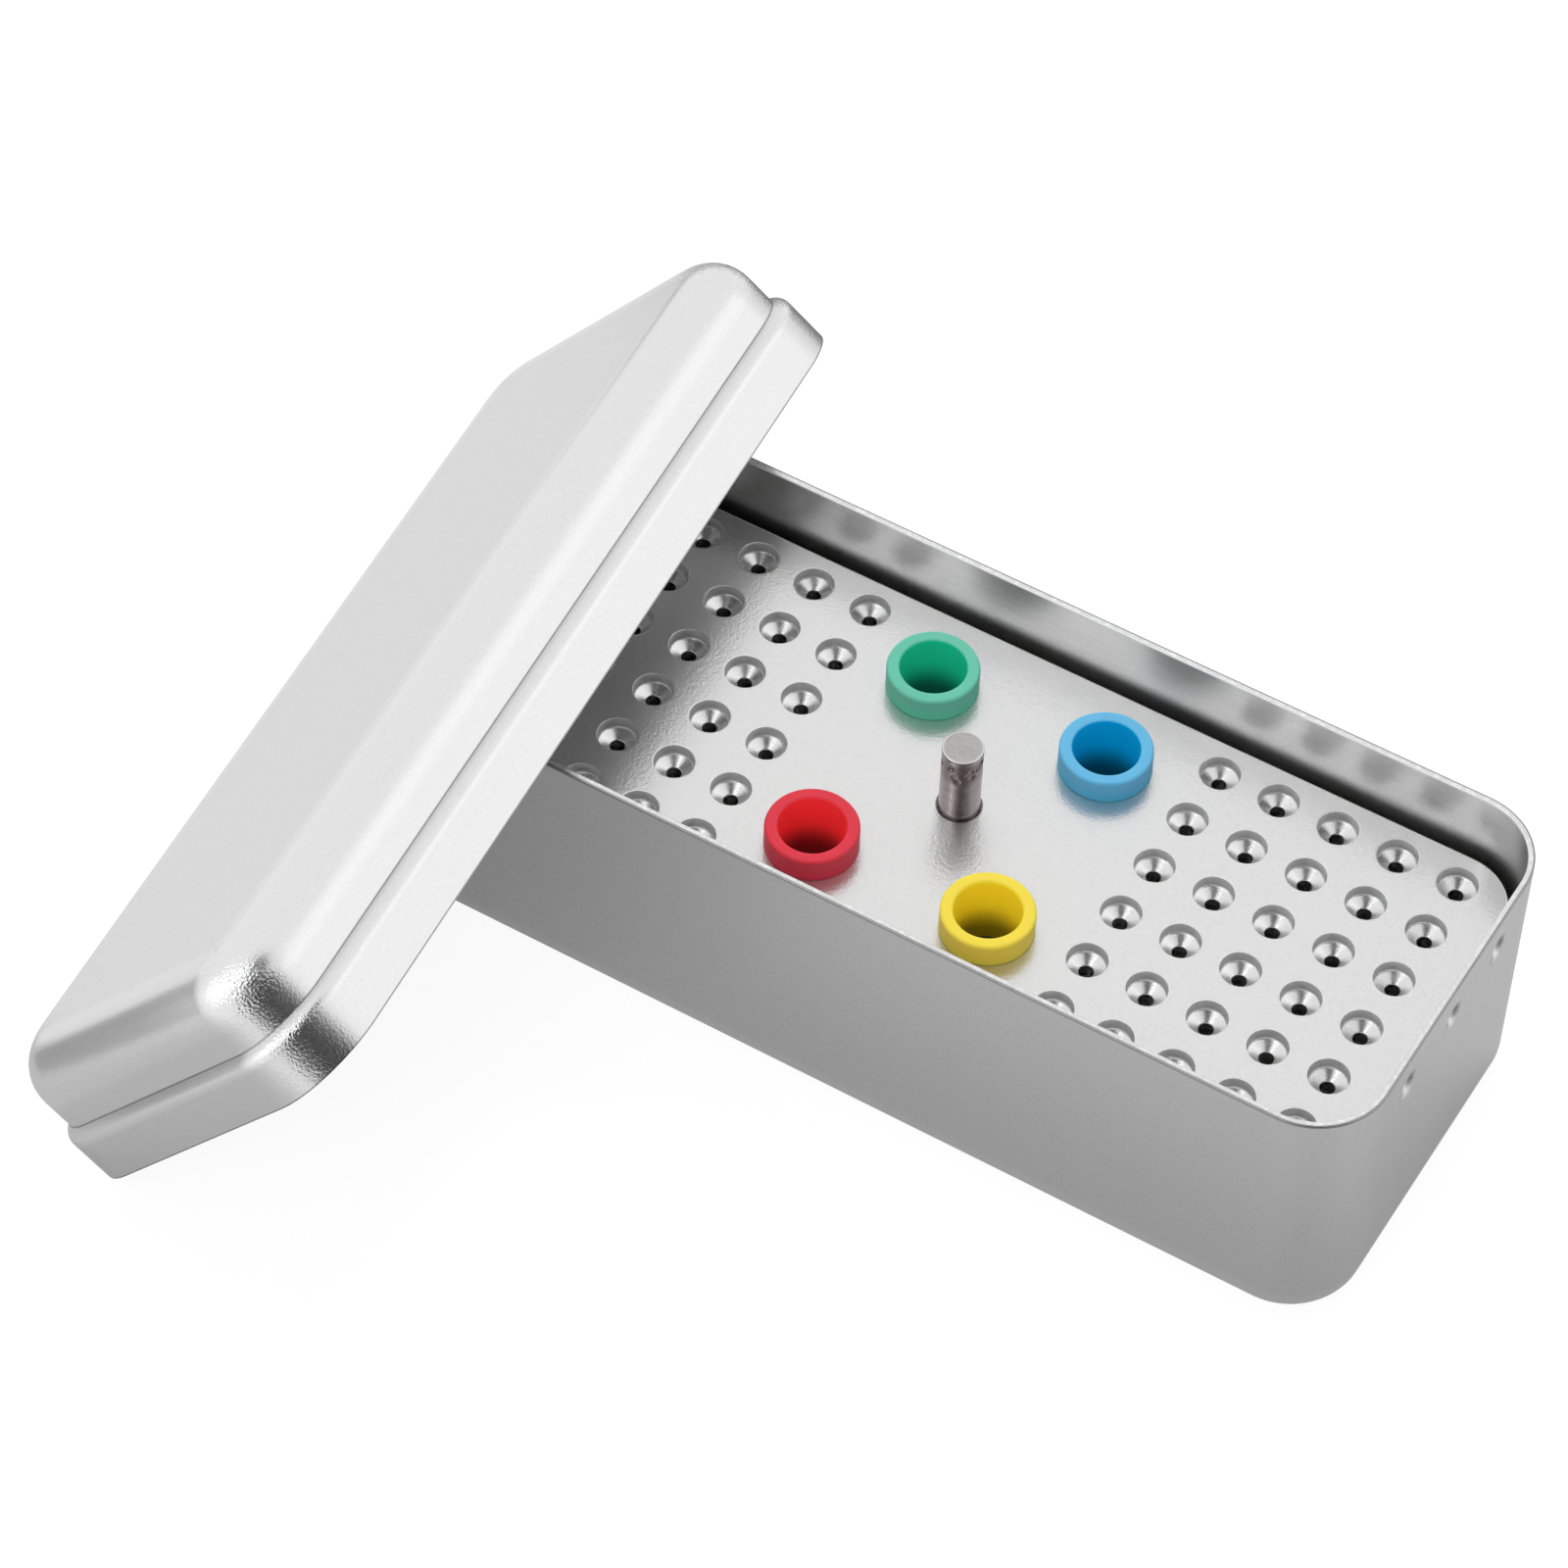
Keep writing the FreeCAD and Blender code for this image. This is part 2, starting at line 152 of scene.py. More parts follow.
# %% [markdown]
# ## Studio
# Satin metal has hardly any colour of its own: it shows a blurred picture of the room. The room
# is therefore part of the finish. Here it is white all round, with a broad lamp high at the back
# left and a weaker one at the front. Neither lamp is seen in the metal. What the metal mirrors
# comes from flat cards that only reflections see: a dark screen where the photographer stands,
# bright cards for the small highlights, and dark strips on the table round the leaning lid, which
# put painted shade into its reflections. The floor is white paper. It is lifted to white for the
# camera and for reflections by a share of its colour, and the rest is lit, so that the box keeps
# its soft shadow. Near the box, reflections see the paper darker, as painted shade.
#
# Nodes are written as sums. A `Signal` is what a node puts out, and `height * 0.5 + wave` adds a
# multiply node and an add node, and links them.


# %% Node helpers
class Signal:
    """What a node puts out. A sum with signals adds the maths nodes that it needs."""

    def __init__(self, tree, socket):
        self.tree = tree
        self.socket = socket

    def maths(self, operation, second=0.0):
        return signal(self.tree, "ShaderNodeMath", {0: self, 1: second}, operation=operation)

    def __add__(self, other):
        return self.maths("ADD", other)

    def __sub__(self, other):
        return self.maths("SUBTRACT", other)

    def __mul__(self, other):
        return self.maths("MULTIPLY", other)

    def __truediv__(self, other):
        return self.maths("DIVIDE", other)

    def __gt__(self, other):
        return self.maths("GREATER_THAN", other)

    def __rsub__(self, number):
        return signal(self.tree, "ShaderNodeMath", {0: number, 1: self}, operation="SUBTRACT")

    def __rtruediv__(self, number):
        return signal(self.tree, "ShaderNodeMath", {0: number, 1: self}, operation="DIVIDE")


def add(tree, kind, inputs=None, **settings):
    """Adds a node, sets its own settings, and fills its inputs with values or links."""
    made = tree.nodes.new(kind)
    for key, value in settings.items():
        setattr(made, key, value)
    for key, value in (inputs or {}).items():
        if isinstance(value, Signal):
            tree.links.new(value.socket, made.inputs[key])
        else:
            made.inputs[key].default_value = value
    return made


def signal(tree, kind, inputs=None, output=0, **settings):
    return Signal(tree, add(tree, kind, inputs, **settings).outputs[output])


def signals(node):
    """All that a node puts out, by name."""
    return {socket.name: Signal(node.id_data, socket) for socket in node.outputs}


def put_out(leave, **values):
    for label, value in values.items():
        leave.id_data.links.new(value.socket, leave.inputs[label])


def vector_maths(operation, first, second=(0, 0, 0), output=0):
    return signal(first.tree, "ShaderNodeVectorMath", {0: first, 1: second}, output, operation=operation)


def scaled(vector, amount):
    """A vector or a colour, multiplied by one number."""
    vector = vector if isinstance(vector, Signal) else vector[:3]
    return signal(amount.tree, "ShaderNodeVectorMath", {0: vector, 3: amount}, operation="SCALE")


def combined(x, y=0.0, z=0.0):
    tree = next(value.tree for value in (x, y, z) if isinstance(value, Signal))
    return signal(tree, "ShaderNodeCombineXYZ", {0: x, 1: y, 2: z})


def separated(vector):
    made = add(vector.tree, "ShaderNodeSeparateXYZ", {0: vector})
    return [Signal(vector.tree, socket) for socket in made.outputs]


def ramp(value, low, high, at_low=0.0, at_high=1.0, kind="LINEAR"):
    """A value that goes from one number to another between two limits, and stays there beyond."""
    return signal(value.tree, "ShaderNodeMapRange", {0: value, 1: low, 2: high, 3: at_low, 4: at_high},
                  interpolation_type=kind)


def new_tree(material):
    """The emptied node tree of a material or world."""
    material.use_nodes = True
    material.node_tree.nodes.clear()
    return material.node_tree


def new_material(name):
    material = bpy.data.materials.new(name)
    return material, new_tree(material)


def object_spot(tree):
    """Place on the object, in metres."""
    return signal(tree, "ShaderNodeTexCoord", output="Object")


def mixed_shaders(tree, amount, first, second):
    return signal(tree, "ShaderNodeMixShader", {0: amount, 1: first, 2: second})


def seen_directly(tree):
    """1 for rays of the camera, of reflections and through glass, 0 for diffuse light."""
    path = signals(add(tree, "ShaderNodeLightPath"))
    return path["Is Camera Ray"].maths("MAXIMUM", path["Is Glossy Ray"]).maths(
        "MAXIMUM", path["Is Transmission Ray"])


# %% World
WORLD_LIGHT = 0.42
WHITE = (1, 1, 1, 1)

world = bpy.data.worlds.new("White room")
scene.world = world
tree = new_tree(world)
dim = signal(tree, "ShaderNodeBackground", {"Color": WHITE, "Strength": WORLD_LIGHT})
white = signal(tree, "ShaderNodeBackground", {"Color": WHITE, "Strength": 1.0})
add(tree, "ShaderNodeOutputWorld", {"Surface": mixed_shaders(tree, seen_directly(tree), dim, white)})
print("world: white for the camera, light", WORLD_LIGHT)

# %% Floor
CAMERA_LIFT = 0.89
REFLECTED_LIFT = 0.22
FAR_LIFT = 0.72
LIFT_NEAR = 0.13
LIFT_FAR = 0.24
LIT_SHADE = 0.92
MIRRORED_SHADE = 0.40
SEEN_SHADE = 0.22

floor_mesh = bpy.data.meshes.new("floor")
floor_mesh.from_pydata([(-4, -4, 0), (4, -4, 0), (4, 4, 0), (-4, 4, 0)], [], [(0, 1, 2, 3)])
floor = bpy.data.objects.new("floor", floor_mesh)
scene.collection.objects.link(floor)


def lifted_paper(tree, paper_shade, lift):
    """Lit paper of one shade, plus a share of plain white."""
    lit = signal(tree, "ShaderNodeBsdfDiffuse", {"Color": (paper_shade, paper_shade, paper_shade, 1)})
    shine = signal(tree, "ShaderNodeEmission", {"Color": WHITE, "Strength": lift})
    return signal(tree, "ShaderNodeAddShader", {0: lit, 1: shine})


paper, tree = new_material("white paper")
# Reflections see the paper near the box darker than further away: painted shade round the box.
away = vector_maths("LENGTH", object_spot(tree), output="Value")
lift = ramp(away, LIFT_NEAR, LIFT_FAR, REFLECTED_LIFT, FAR_LIFT)
surface = mixed_shaders(tree, seen_directly(tree), lifted_paper(tree, LIT_SHADE, 0.0),
                        lifted_paper(tree, MIRRORED_SHADE, lift))
by_camera = signal(tree, "ShaderNodeLightPath", output="Is Camera Ray")
surface = mixed_shaders(tree, by_camera, surface, lifted_paper(tree, SEEN_SHADE, CAMERA_LIFT))
add(tree, "ShaderNodeOutputMaterial", {"Surface": surface})
floor_mesh.materials.append(paper)


# %% Lamps
MIDDLE = (0, 0, 0.02)


def facing(place, target):
    """Matrix at a place whose -Z looks at the target."""
    way = (Vector(target) - Vector(place)).to_track_quat("-Z", "Y")
    return Matrix.Translation(place) @ way.to_matrix().to_4x4()


def soft_lamp(name, place, side, radiance):
    """A square lamp that reflections don't see; its power follows from how bright its face is."""
    data = bpy.data.lights.new(name, "AREA")
    data.shape = "RECTANGLE"
    data.size = side
    data.size_y = side
    data.energy = radiance * math.pi * side * side
    lamp = bpy.data.objects.new(name, data)
    lamp.matrix_world = facing(place, MIDDLE)
    lamp.visible_glossy = False
    scene.collection.objects.link(lamp)
    print(name, "power", round(data.energy, 2), "W")


soft_lamp("key lamp", (-0.40, 0.55, 1.05), 0.7, 6.0)
soft_lamp("fill lamp", (0.10, -0.75, 1.00), 0.6, 2.2)


# %% Cards
def card(name, place, width, height, glow):
    """A flat card that only reflections see. It lies on the floor or faces the box."""
    half_w, half_h = width / 2, height / 2
    mesh = bpy.data.meshes.new(name)
    corners = [(-half_w, -half_h, 0), (half_w, -half_h, 0), (half_w, half_h, 0), (-half_w, half_h, 0)]
    mesh.from_pydata(corners, [], [(0, 1, 2, 3)])
    made = bpy.data.objects.new(name, mesh)
    on_floor = place[2] < 0.01
    made.matrix_world = facing(place, (place[0], place[1], 1) if on_floor else MIDDLE)
    scene.collection.objects.link(made)
    cloth, tree = new_material(name)
    shine = signal(tree, "ShaderNodeEmission", {"Color": WHITE, "Strength": glow})
    add(tree, "ShaderNodeOutputMaterial", {"Surface": shine})
    mesh.materials.append(cloth)
    for kind in ("camera", "diffuse", "shadow", "transmission"):
        setattr(made, "visible_" + kind, False)


# name, place, width, height, glow
CARDS = (
    ("dark screen", (0.60, -0.60, 0.46), 1.02, 0.96, 0.05),
    ("screen behind camera", (0.22, -0.40, 0.95), 0.46, 0.95, 0.10),
    ("narrow bright card", (-0.27, -0.71, 0.95), 0.10, 0.50, 5.0),
    # The dark strips lie on the table as painted shade round the lid, and only reflections see them.
    ("dark strip before the lid", (-0.200, -0.105, 0.003), 0.20, 0.06, 0.32),
    ("dark strip behind the lid", (-0.170, 0.167, 0.003), 0.16, 0.12, 0.25),
    ("dark strip by the far corner", (-0.040, 0.120, 0.003), 0.10, 0.14, 0.20),
    ("dark strip past the far corner", (0.070, 0.290, 0.003), 0.22, 0.20, 0.28),
    ("white card left", (-0.20, 0.018, 0.004), 0.22, 0.176, 0.90),
    ("white card right", (1.00, 0.72, 0.60), 1.5, 1.2, 1.24),
    ("bright card front left", (-0.64, -0.88, 0.37), 0.38, 0.38, 4.0),
)
for facts in CARDS:
    card(*facts)
print("cards:", len(CARDS))

# %% [markdown]
# ## Shared effects of the finishes
# Three effects come back in several finishes, so each is a shader node group that is built once.
# *Satin grain* is the fine tooth that blasting and anodising leave, with the coarser orange peel
# that drawing gives to sheet where it is stretched. *Cut edge* is the raw, chipped line along a
# trimmed rim, which the sheet's finish paints lighter as a highlight. *Scuffs* are fine scratches
# on bare metal. A group only works out numbers and colours, and the shader itself stays in the
# material.


# %% Group helpers
FLOAT = "NodeSocketFloat"
VECTOR = "NodeSocketVector"


def shader_group(name, inputs, outputs):
    """An empty shader node group with named number inputs and named outputs."""
    group = bpy.data.node_groups.new(name, "ShaderNodeTree")
    for label, default in inputs:
        socket = group.interface.new_socket(label, in_out="INPUT", socket_type=FLOAT)
        socket.default_value = default
    for label in outputs:
        kind = VECTOR if label == "Normal" else FLOAT
        group.interface.new_socket(label, in_out="OUTPUT", socket_type=kind)
    return group, signals(group.nodes.new("NodeGroupInput")), group.nodes.new("NodeGroupOutput")


def noise(spot, size, detail=2.0, roughness=0.5):
    """Noise whose features are about `size` metres across, from 0 to 1."""
    return signal(spot.tree, "ShaderNodeTexNoise", {"Vector": spot, "Scale": 1.0 / size, "Detail": detail,
                  "Roughness": roughness})


def bumped(height):
    return signal(height.tree, "ShaderNodeBump", {"Strength": 1.0, "Distance": 1.0, "Height": height})


# %% Satin grain
grain_group, given, leave = shader_group(
    "Satin grain",
    [("Grain Size", 0.00022), ("Grain Depth", 0.000004), ("Peel Size", 0.0007), ("Peel Depth", 0.00001),
     ("Peel Amount", 0.0), ("Roughness", 0.35), ("Roughness Spread", 0.06), ("Shade Spread", 0.04)],
    ("Normal", "Roughness", "Shade"))
spot = object_spot(grain_group)
peel = (noise(spot, given["Peel Size"], 1.0) - 0.5) * given["Peel Depth"] * given["Peel Amount"]
height = noise(spot, given["Grain Size"], 3.0, 0.6) * given["Grain Depth"] + peel
cloud = noise(spot, 0.012) - 0.5
speck = noise(spot, 0.0003, 2.0, 0.7) - 0.5
put_out(leave, Normal=bumped(height), Roughness=cloud * given["Roughness Spread"] + given["Roughness"],
        Shade=speck * given["Shade Spread"] + 1.0)

# %% Cut edge
edge_group, given, leave = shader_group(
    "Cut edge", [("Mask", 0.0), ("Raggedness", 0.5), ("Chip Size", 0.0005)], ("Amount",))
chips = noise(object_spot(edge_group), given["Chip Size"], 3.0, 0.7) - 0.5
put_out(leave, Amount=ramp(chips * given["Raggedness"] + given["Mask"], 0.35, 0.65, kind="SMOOTHSTEP"))

# %% Scuffs
scuff_group, given, leave = shader_group(
    "Scuffs",
    [("Scratch Size", 0.0004), ("Stretch", 12.0), ("Depth", 0.000004), ("Roughness", 0.3), ("Spread", 0.2)],
    ("Normal", "Roughness", "Shade"))
spot = object_spot(scuff_group)
drawn = vector_maths("MULTIPLY", spot, combined(1.0, 1.0, 1.0 / given["Stretch"]))
spots = noise(spot, 0.0011, 3.0, 0.65)
put_out(leave, Normal=bumped(noise(drawn, given["Scratch Size"], 4.0, 0.7) * given["Depth"]),
        Roughness=(spots - 0.5) * given["Spread"] + given["Roughness"], Shade=spots)
print("shader groups:", grain_group.name, edge_group.name, scuff_group.name)

# %% [markdown]
# ## Finishes of the metal
# The sheet of case and lid is the same soft aluminium, blasted and anodised to a satin silver.
# Marks that are stored on the mesh steer it: `rim` is the trimmed edge, painted lighter as a
# highlight along its raw line, `stretch` a bend, painted a little lighter as a sheen, `corner` a
# rounded corner, `bare` the inside of the case, painted darker as shade, the burr mark a dark line
# of painted shade along a crease, the rim and the skirt's foot and round a dent, `press` a dent,
# with a painted highlight on its floor, and `dull` the inside of the lid. The plate has a finer
# satin. The seats that were drilled after that are bare and shiny, with a painted highlight line
# along their chamfers.


# %% Metal helpers
def grouped(tree, group, inputs):
    return signals(add(tree, "ShaderNodeGroup", inputs, node_tree=group))


def mark(tree, name):
    return signal(tree, "ShaderNodeAttribute", output="Fac", attribute_type="GEOMETRY", attribute_name=name)


def mixed(amount, first, second):
    return signal(amount.tree, "ShaderNodeMix", {0: amount, 6: first, 7: second}, output=2, data_type="RGBA")


def finish(tree, inputs):
    shader = signal(tree, "ShaderNodeBsdfPrincipled", inputs)
    add(tree, "ShaderNodeOutputMaterial", {"Surface": shader})


# %% Satin sheet of case and lid
# Painted shade and light of the sheet, as shares of its colour: the inside and the dark lines are painted darker, a
# dent's floor and a bend lighter.
INSIDE_PAINTED_SHADE = 0.12
LINE_PAINTED_SHADE = 0.6
DENT_PAINTED_HIGHLIGHT = 0.32
BEND_PAINTED_SHEEN = 0.07


def satin_sheet(name, colour, raw_edge_and_highlight_colour, roughness, peel):
    material, tree = new_material(name)
    bend = mark(tree, "stretch")
    bare = mark(tree, "bare")
    dent = mark(tree, "press")
    stretch = ((bend * 0.5 + 0.5) * mark(tree, "corner")).maths("MAXIMUM", bend * 0.15)
    satin = grouped(tree, grain_group, {"Peel Amount": stretch * peel, "Roughness": roughness, "Shade Spread": 0.22,
                    "Grain Depth": 0.000007, "Peel Size": 0.0003, "Peel Depth": 0.00007})
    edge = grouped(tree, edge_group, {"Mask": mark(tree, "rim"), "Raggedness": 0.9})["Amount"]
    along = vector_maths("MULTIPLY", object_spot(tree), (0.05, 0.05, 1.0))
    drawn_lines = (noise(along, 0.00035, 3.0, 0.6) - 0.5) * 0.2
    # The inside of the case is painted darker as shade, under its real drawn lines, and the burr mark paints dark lines
    # of shade.
    shade = satin["Shade"] + (drawn_lines - INSIDE_PAINTED_SHADE) * bare - mark(tree, "burr") * LINE_PAINTED_SHADE
    # A dent's floor is painted lighter as a highlight, and a bend a little lighter as a painted sheen.
    shade = shade + dent * DENT_PAINTED_HIGHLIGHT + bend * BEND_PAINTED_SHEEN
    # The trimmed edge is lighter and less metallic: its raw, chipped line with a painted highlight.
    finish(tree, {
        "Base Color": mixed(edge, scaled(colour, shade), raw_edge_and_highlight_colour),
        "Metallic": 1.0 - edge * 0.7 - mark(tree, "dull") * 0.6,
        "Roughness": satin["Roughness"] + bare * 0.05 - stretch * 0.07 - dent * 0.17,
        "Normal": satin["Normal"],
    })
    return material


case_sheet = satin_sheet("case sheet", (0.71, 0.71, 0.71, 1), (0.88, 0.88, 0.88, 1), 0.31, 0.25)
lid_sheet = satin_sheet("lid sheet", (0.72, 0.72, 0.72, 1), (0.80, 0.80, 0.80, 1), 0.30, 1.6)


# %% Satin plate and bare seats
def satin_plate():
    material, tree = new_material("tray satin")
    satin = grouped(tree, grain_group, {"Roughness": 0.26, "Grain Size": 0.00018, "Grain Depth": 0.000006,
                    "Shade Spread": 0.22, "Peel Size": 0.00035, "Peel Depth": 0.000024, "Peel Amount": 1.0})
    finish(tree, {
        "Base Color": scaled((0.72, 0.72, 0.72), satin["Shade"]),
        "Metallic": 0.8,
        "Roughness": satin["Roughness"],
        "Normal": satin["Normal"],
    })
    return material


def bare_seat():
    """Bare drilled metal: `rim` is a seat's upright wall, painted a little darker as shade, `stretch` the painted
    highlight along its chamfer.
    """
    material, tree = new_material("drilled seats")
    scuffs = grouped(tree, scuff_group, {"Scratch Size": 0.00012, "Stretch": 0.35, "Depth": 0.000006,
                     "Roughness": 0.26, "Spread": 0.25})
    wall = mark(tree, "rim")
    line = mark(tree, "stretch")
    finish(tree, {
        # The chamfer's light, less metallic line is a painted highlight; the wall's slight darkening is painted shade.
        "Base Color": scaled((0.80, 0.80, 0.80), scuffs["Shade"] * 0.3 + 0.8 - wall * 0.03 + line * 0.2),
        "Metallic": 1.0 - line * 0.8,
        "Roughness": scuffs["Roughness"] + wall * 0.28,
        "Normal": scuffs["Normal"],
    })
    return material


tray_satin = satin_plate()
tray_bare = bare_seat()


# %% Steel of the pin, its washer and its nut
def scuffed_steel(name, colour, painted_light_top_colour, roughness, band_low, band_high):
    """Bare steel, darker and rougher in the crimped band between two heights. The top is painted lighter than the sides
    as light, and the turned edge is painted as a highlight.
    """
    material, tree = new_material(name)
    scuffs = grouped(tree, scuff_group, {"Roughness": roughness, "Scratch Size": 0.00025, "Stretch": 9.0})
    spots = scuffs["Shade"]
    height = separated(object_spot(tree))[2]
    band = ramp(spots * 0.0024 + height, band_low, band_low + 0.0006)
    band = band * ramp(height, band_high, band_high + 0.0001, 1.0, 0.0)
    shade = spots * 0.7 + 0.65
    worn = scaled((colour[0] * 0.75, colour[1] * 0.7, colour[2] * 0.7), shade)
    plain = mixed(mark(tree, "bare"), scaled(colour, shade), scaled(painted_light_top_colour, spots * 0.5 + 0.75))
    painted_edge_highlight = mark(tree, "stretch")
    plain = mixed(painted_edge_highlight, plain, (0.75, 0.73, 0.72, 1))
    finish(tree, {
        "Base Color": mixed(band, plain, worn),
        "Metallic": 1.0 - painted_edge_highlight * 0.7,
        "Roughness": scuffs["Roughness"] * (1.0 - band) + band * 0.27,
        "Normal": scuffs["Normal"],
    })
    return material


pin_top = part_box("lifting_pin")[1].z
# The side colour is painted darker as shade, and the top colour lighter as light.
pin_steel = scuffed_steel("pin steel", (0.34, 0.30, 0.295), (0.45, 0.435, 0.43, 1), 0.22, pin_top - 3.0 * MM,
                          pin_top - 0.8 * MM)
# The fasteners have no crimped band, so theirs is set far above them.
fastener_steel = scuffed_steel("fastener steel", (0.60, 0.59, 0.58), (0.60, 0.59, 0.58, 1), 0.3, 1.0, 1.1)


# %% Turned aluminium of the legs
def turned_aluminium():
    material, tree = new_material("leg aluminium")
    scuffs = grouped(tree, scuff_group, {"Scratch Size": 0.0002, "Stretch": 0.1, "Roughness": 0.3,
                     "Spread": 0.15})
    finish(tree, {
        "Base Color": scaled((0.72, 0.72, 0.72), scuffs["Shade"] * 0.2 + 0.9),
        "Metallic": 1.0,
        "Roughness": scuffs["Roughness"],
        "Normal": scuffs["Normal"],
    })
    return material


leg_aluminium = turned_aluminium()
print("metal finishes made")

# %% [markdown]
# ## Finish of the silicone
# The sleeves are soft, coloured silicone. Light goes a little way in and comes out again, so
# their edges are soft. Subsurface scattering gives that, and a faint painted glow of their own
# colour keeps the bores from going black. A bore is painted in a more saturated colour, as the
# light that shines through the silicone, and painted darker with depth, as shade. The metal round
# the sleeves mirrors their shape but hardly their colour, so a mirrored ray from far off sees
# plain grey.


# %% Silicone
MIRROR_REACH = 8.0 * MM


def silicone(name, colour, depth_colour, painted_light_bore_colour):
    """Silicone of one colour, with a deeper colour low on the outside, and in the bore a more saturated colour of
    painted light that is painted darker with depth as shade.
    """
    material, tree = new_material(name)
    satin = grouped(tree, grain_group, {"Grain Size": 0.0003, "Grain Depth": 0.000006, "Roughness": 0.5,
                    "Shade Spread": 0.03})
    height = separated(object_spot(tree))[2]
    bore = mark(tree, "bare")
    low = ramp(height, PLATE_TOP - 2.0 * MM, PLATE_TOP + 3.2 * MM, 1.0, 0.0, "SMOOTHSTEP")
    # In the bore the colour is painted darker with depth: painted shade.
    painted_bore_shade = ramp(height, PLATE_TOP - 5.5 * MM, PLATE_TOP - 0.3 * MM, 0.24, 1.0, "SMOOTHSTEP")
    base = mixed(bore, mixed(low, colour, depth_colour), painted_light_bore_colour)
    base = mixed(bore, base, scaled(base, painted_bore_shade))
    base = scaled(base, satin["Shade"])
    path = signals(add(tree, "ShaderNodeLightPath"))
    mirrored = (path["Ray Length"] > MIRROR_REACH).maths("MAXIMUM", path["Glossy Depth"] > 1.5)
    base = mixed(mirrored * path["Is Glossy Ray"], base, (0.3, 0.3, 0.3, 1))
    finish(tree, {
        "Base Color": base,
        # The emission is a painted glow of the sleeve's own colour, stronger in the bore.
        "Emission Color": base,
        "Emission Strength": bore * 0.10 + 0.025,
        "Roughness": satin["Roughness"],
        "Normal": satin["Normal"],
        "IOR": 1.41,
        "Specular IOR Level": 0.35,
        "Subsurface Weight": 0.7,
        "Subsurface Radius": [max(share, 0.15) for share in colour[:3]],
        "Subsurface Scale": 1.6 * MM,
    })
    return material


SLEEVE_COLOURS = {
    "red": ((0.71, 0.048, 0.075, 1), (0.78, 0.022, 0.080, 1), (0.96, 0.045, 0.055, 1)),
    "yellow": ((0.92, 0.72, 0.085, 1), (0.95, 0.76, 0.060, 1), (0.97, 0.76, 0.030, 1)),
    "blue": ((0.15, 0.50, 0.76, 1), (0.035, 0.48, 0.80, 1), (0.0, 0.44, 0.76, 1)),
    "green": ((0.16, 0.56, 0.42, 1), (0.09, 0.72, 0.42, 1), (0.015, 0.62, 0.38, 1)),
}
sleeve_silicone = {name: silicone("silicone " + name, *colours) for name, colours in SLEEVE_COLOURS.items()}
print("silicone:", ", ".join(sleeve_silicone))

# %% [markdown]
# ## One rule for every drawn and turned form
# A drawn shell is its section, swept along a rectangle with rounded corners: in the corners the
# section turns about the corner's own axis, along the sides it moves straight on. With the four
# axes in one place, the same rule gives a turned form. One geometry node group therefore makes
# the case, the lid, the sleeves, the drilled seats and the pin. It lays out a grid, one column
# for each step of the way and one row for each point of the section, and moves each point to
# where the rule puts it. The section is a small mesh of points, and carries the marks for the
# finishes with it.


# %% Geometry node helpers
INT = "NodeSocketInt"
GEOMETRY = "NodeSocketGeometry"
OBJECT = "NodeSocketObject"
MATERIAL = "NodeSocketMaterial"
MARKS = ("rim", "stretch", "bare", "burr", "dull")


def geometry_tree(name, inputs):
    """An empty geometry node tree with named inputs and one geometry output."""
    made = bpy.data.node_groups.new(name, "GeometryNodeTree")
    for label, kind, default in inputs:
        socket = made.interface.new_socket(label, in_out="INPUT", socket_type=kind)
        if default is not None:
            socket.default_value = default
    made.interface.new_socket("Geometry", in_out="OUTPUT", socket_type=GEOMETRY)
    return made, signals(made.nodes.new("NodeGroupInput")), made.nodes.new("NodeGroupOutput")


def then(geometry, kind, inputs=None, **settings):
    """The geometry after one more geometry node."""
    return signal(geometry.tree, "GeometryNode" + kind, {0: geometry, **(inputs or {})}, **settings)


def position(tree):
    return signal(tree, "GeometryNodeInputPosition")


def named(tree, name):
    """A number that is stored on the points."""
    return signal(tree, "GeometryNodeInputNamedAttribute", {"Name": name}, "Attribute", data_type="FLOAT")


def marked(geometry, name, value):
    """The geometry with a number stored on its points."""
    return then(geometry, "StoreNamedAttribute", {"Name": name, "Value": value}, data_type="FLOAT", domain="POINT")


def joined(*parts):
    join = parts[0].tree.nodes.new("GeometryNodeJoinGeometry")
    for part in reversed(parts):
        join.id_data.links.new(part.socket, join.inputs[0])
    return Signal(join.id_data, join.outputs[0])


# %% Swept section
swept, sweep, leave = geometry_tree("Swept section", [
    ("Section", GEOMETRY, None), ("Centre X", FLOAT, 0.0), ("Centre Y", FLOAT, 0.0),
    ("Corner Steps", INT, 12), ("Side Columns", INT, 1)])
rows = signal(swept, "GeometryNodeAttributeDomainSize", {"Geometry": sweep["Section"]}, "Point Count", component="MESH")
steps = sweep["Corner Steps"]
quarter_columns = steps + sweep["Side Columns"]
all_columns = quarter_columns * 4.0
last_row = rows - 1.0
body = signal(swept, "GeometryNodeMeshGrid", {"Size X": all_columns, "Size Y": last_row,
              "Vertices X": all_columns + 1.0, "Vertices Y": rows})
flat = separated(position(swept))
column = (all_columns * 0.5 + flat[0]).maths("ROUND")
row = (last_row * 0.5 + flat[1]).maths("ROUND")
quarter = ((column + 0.01) / quarter_columns).maths("FLOOR")
step = column - quarter * quarter_columns
angle = (quarter + (step / steps).maths("MINIMUM", 1.0)) * (math.pi / 2)
side_share = (step - steps).maths("MAXIMUM", 0.0) / sweep["Side Columns"].maths("MAXIMUM", 1.0)


def plan_corner(quarter_number):
    """Axis of a plan corner, counted from the one at +X +Y."""
    way = quarter_number * (math.pi / 2) + math.pi / 4
    return combined(way.maths("COSINE") * math.sqrt(2) * sweep["Centre X"],
                    way.maths("SINE") * math.sqrt(2) * sweep["Centre Y"])


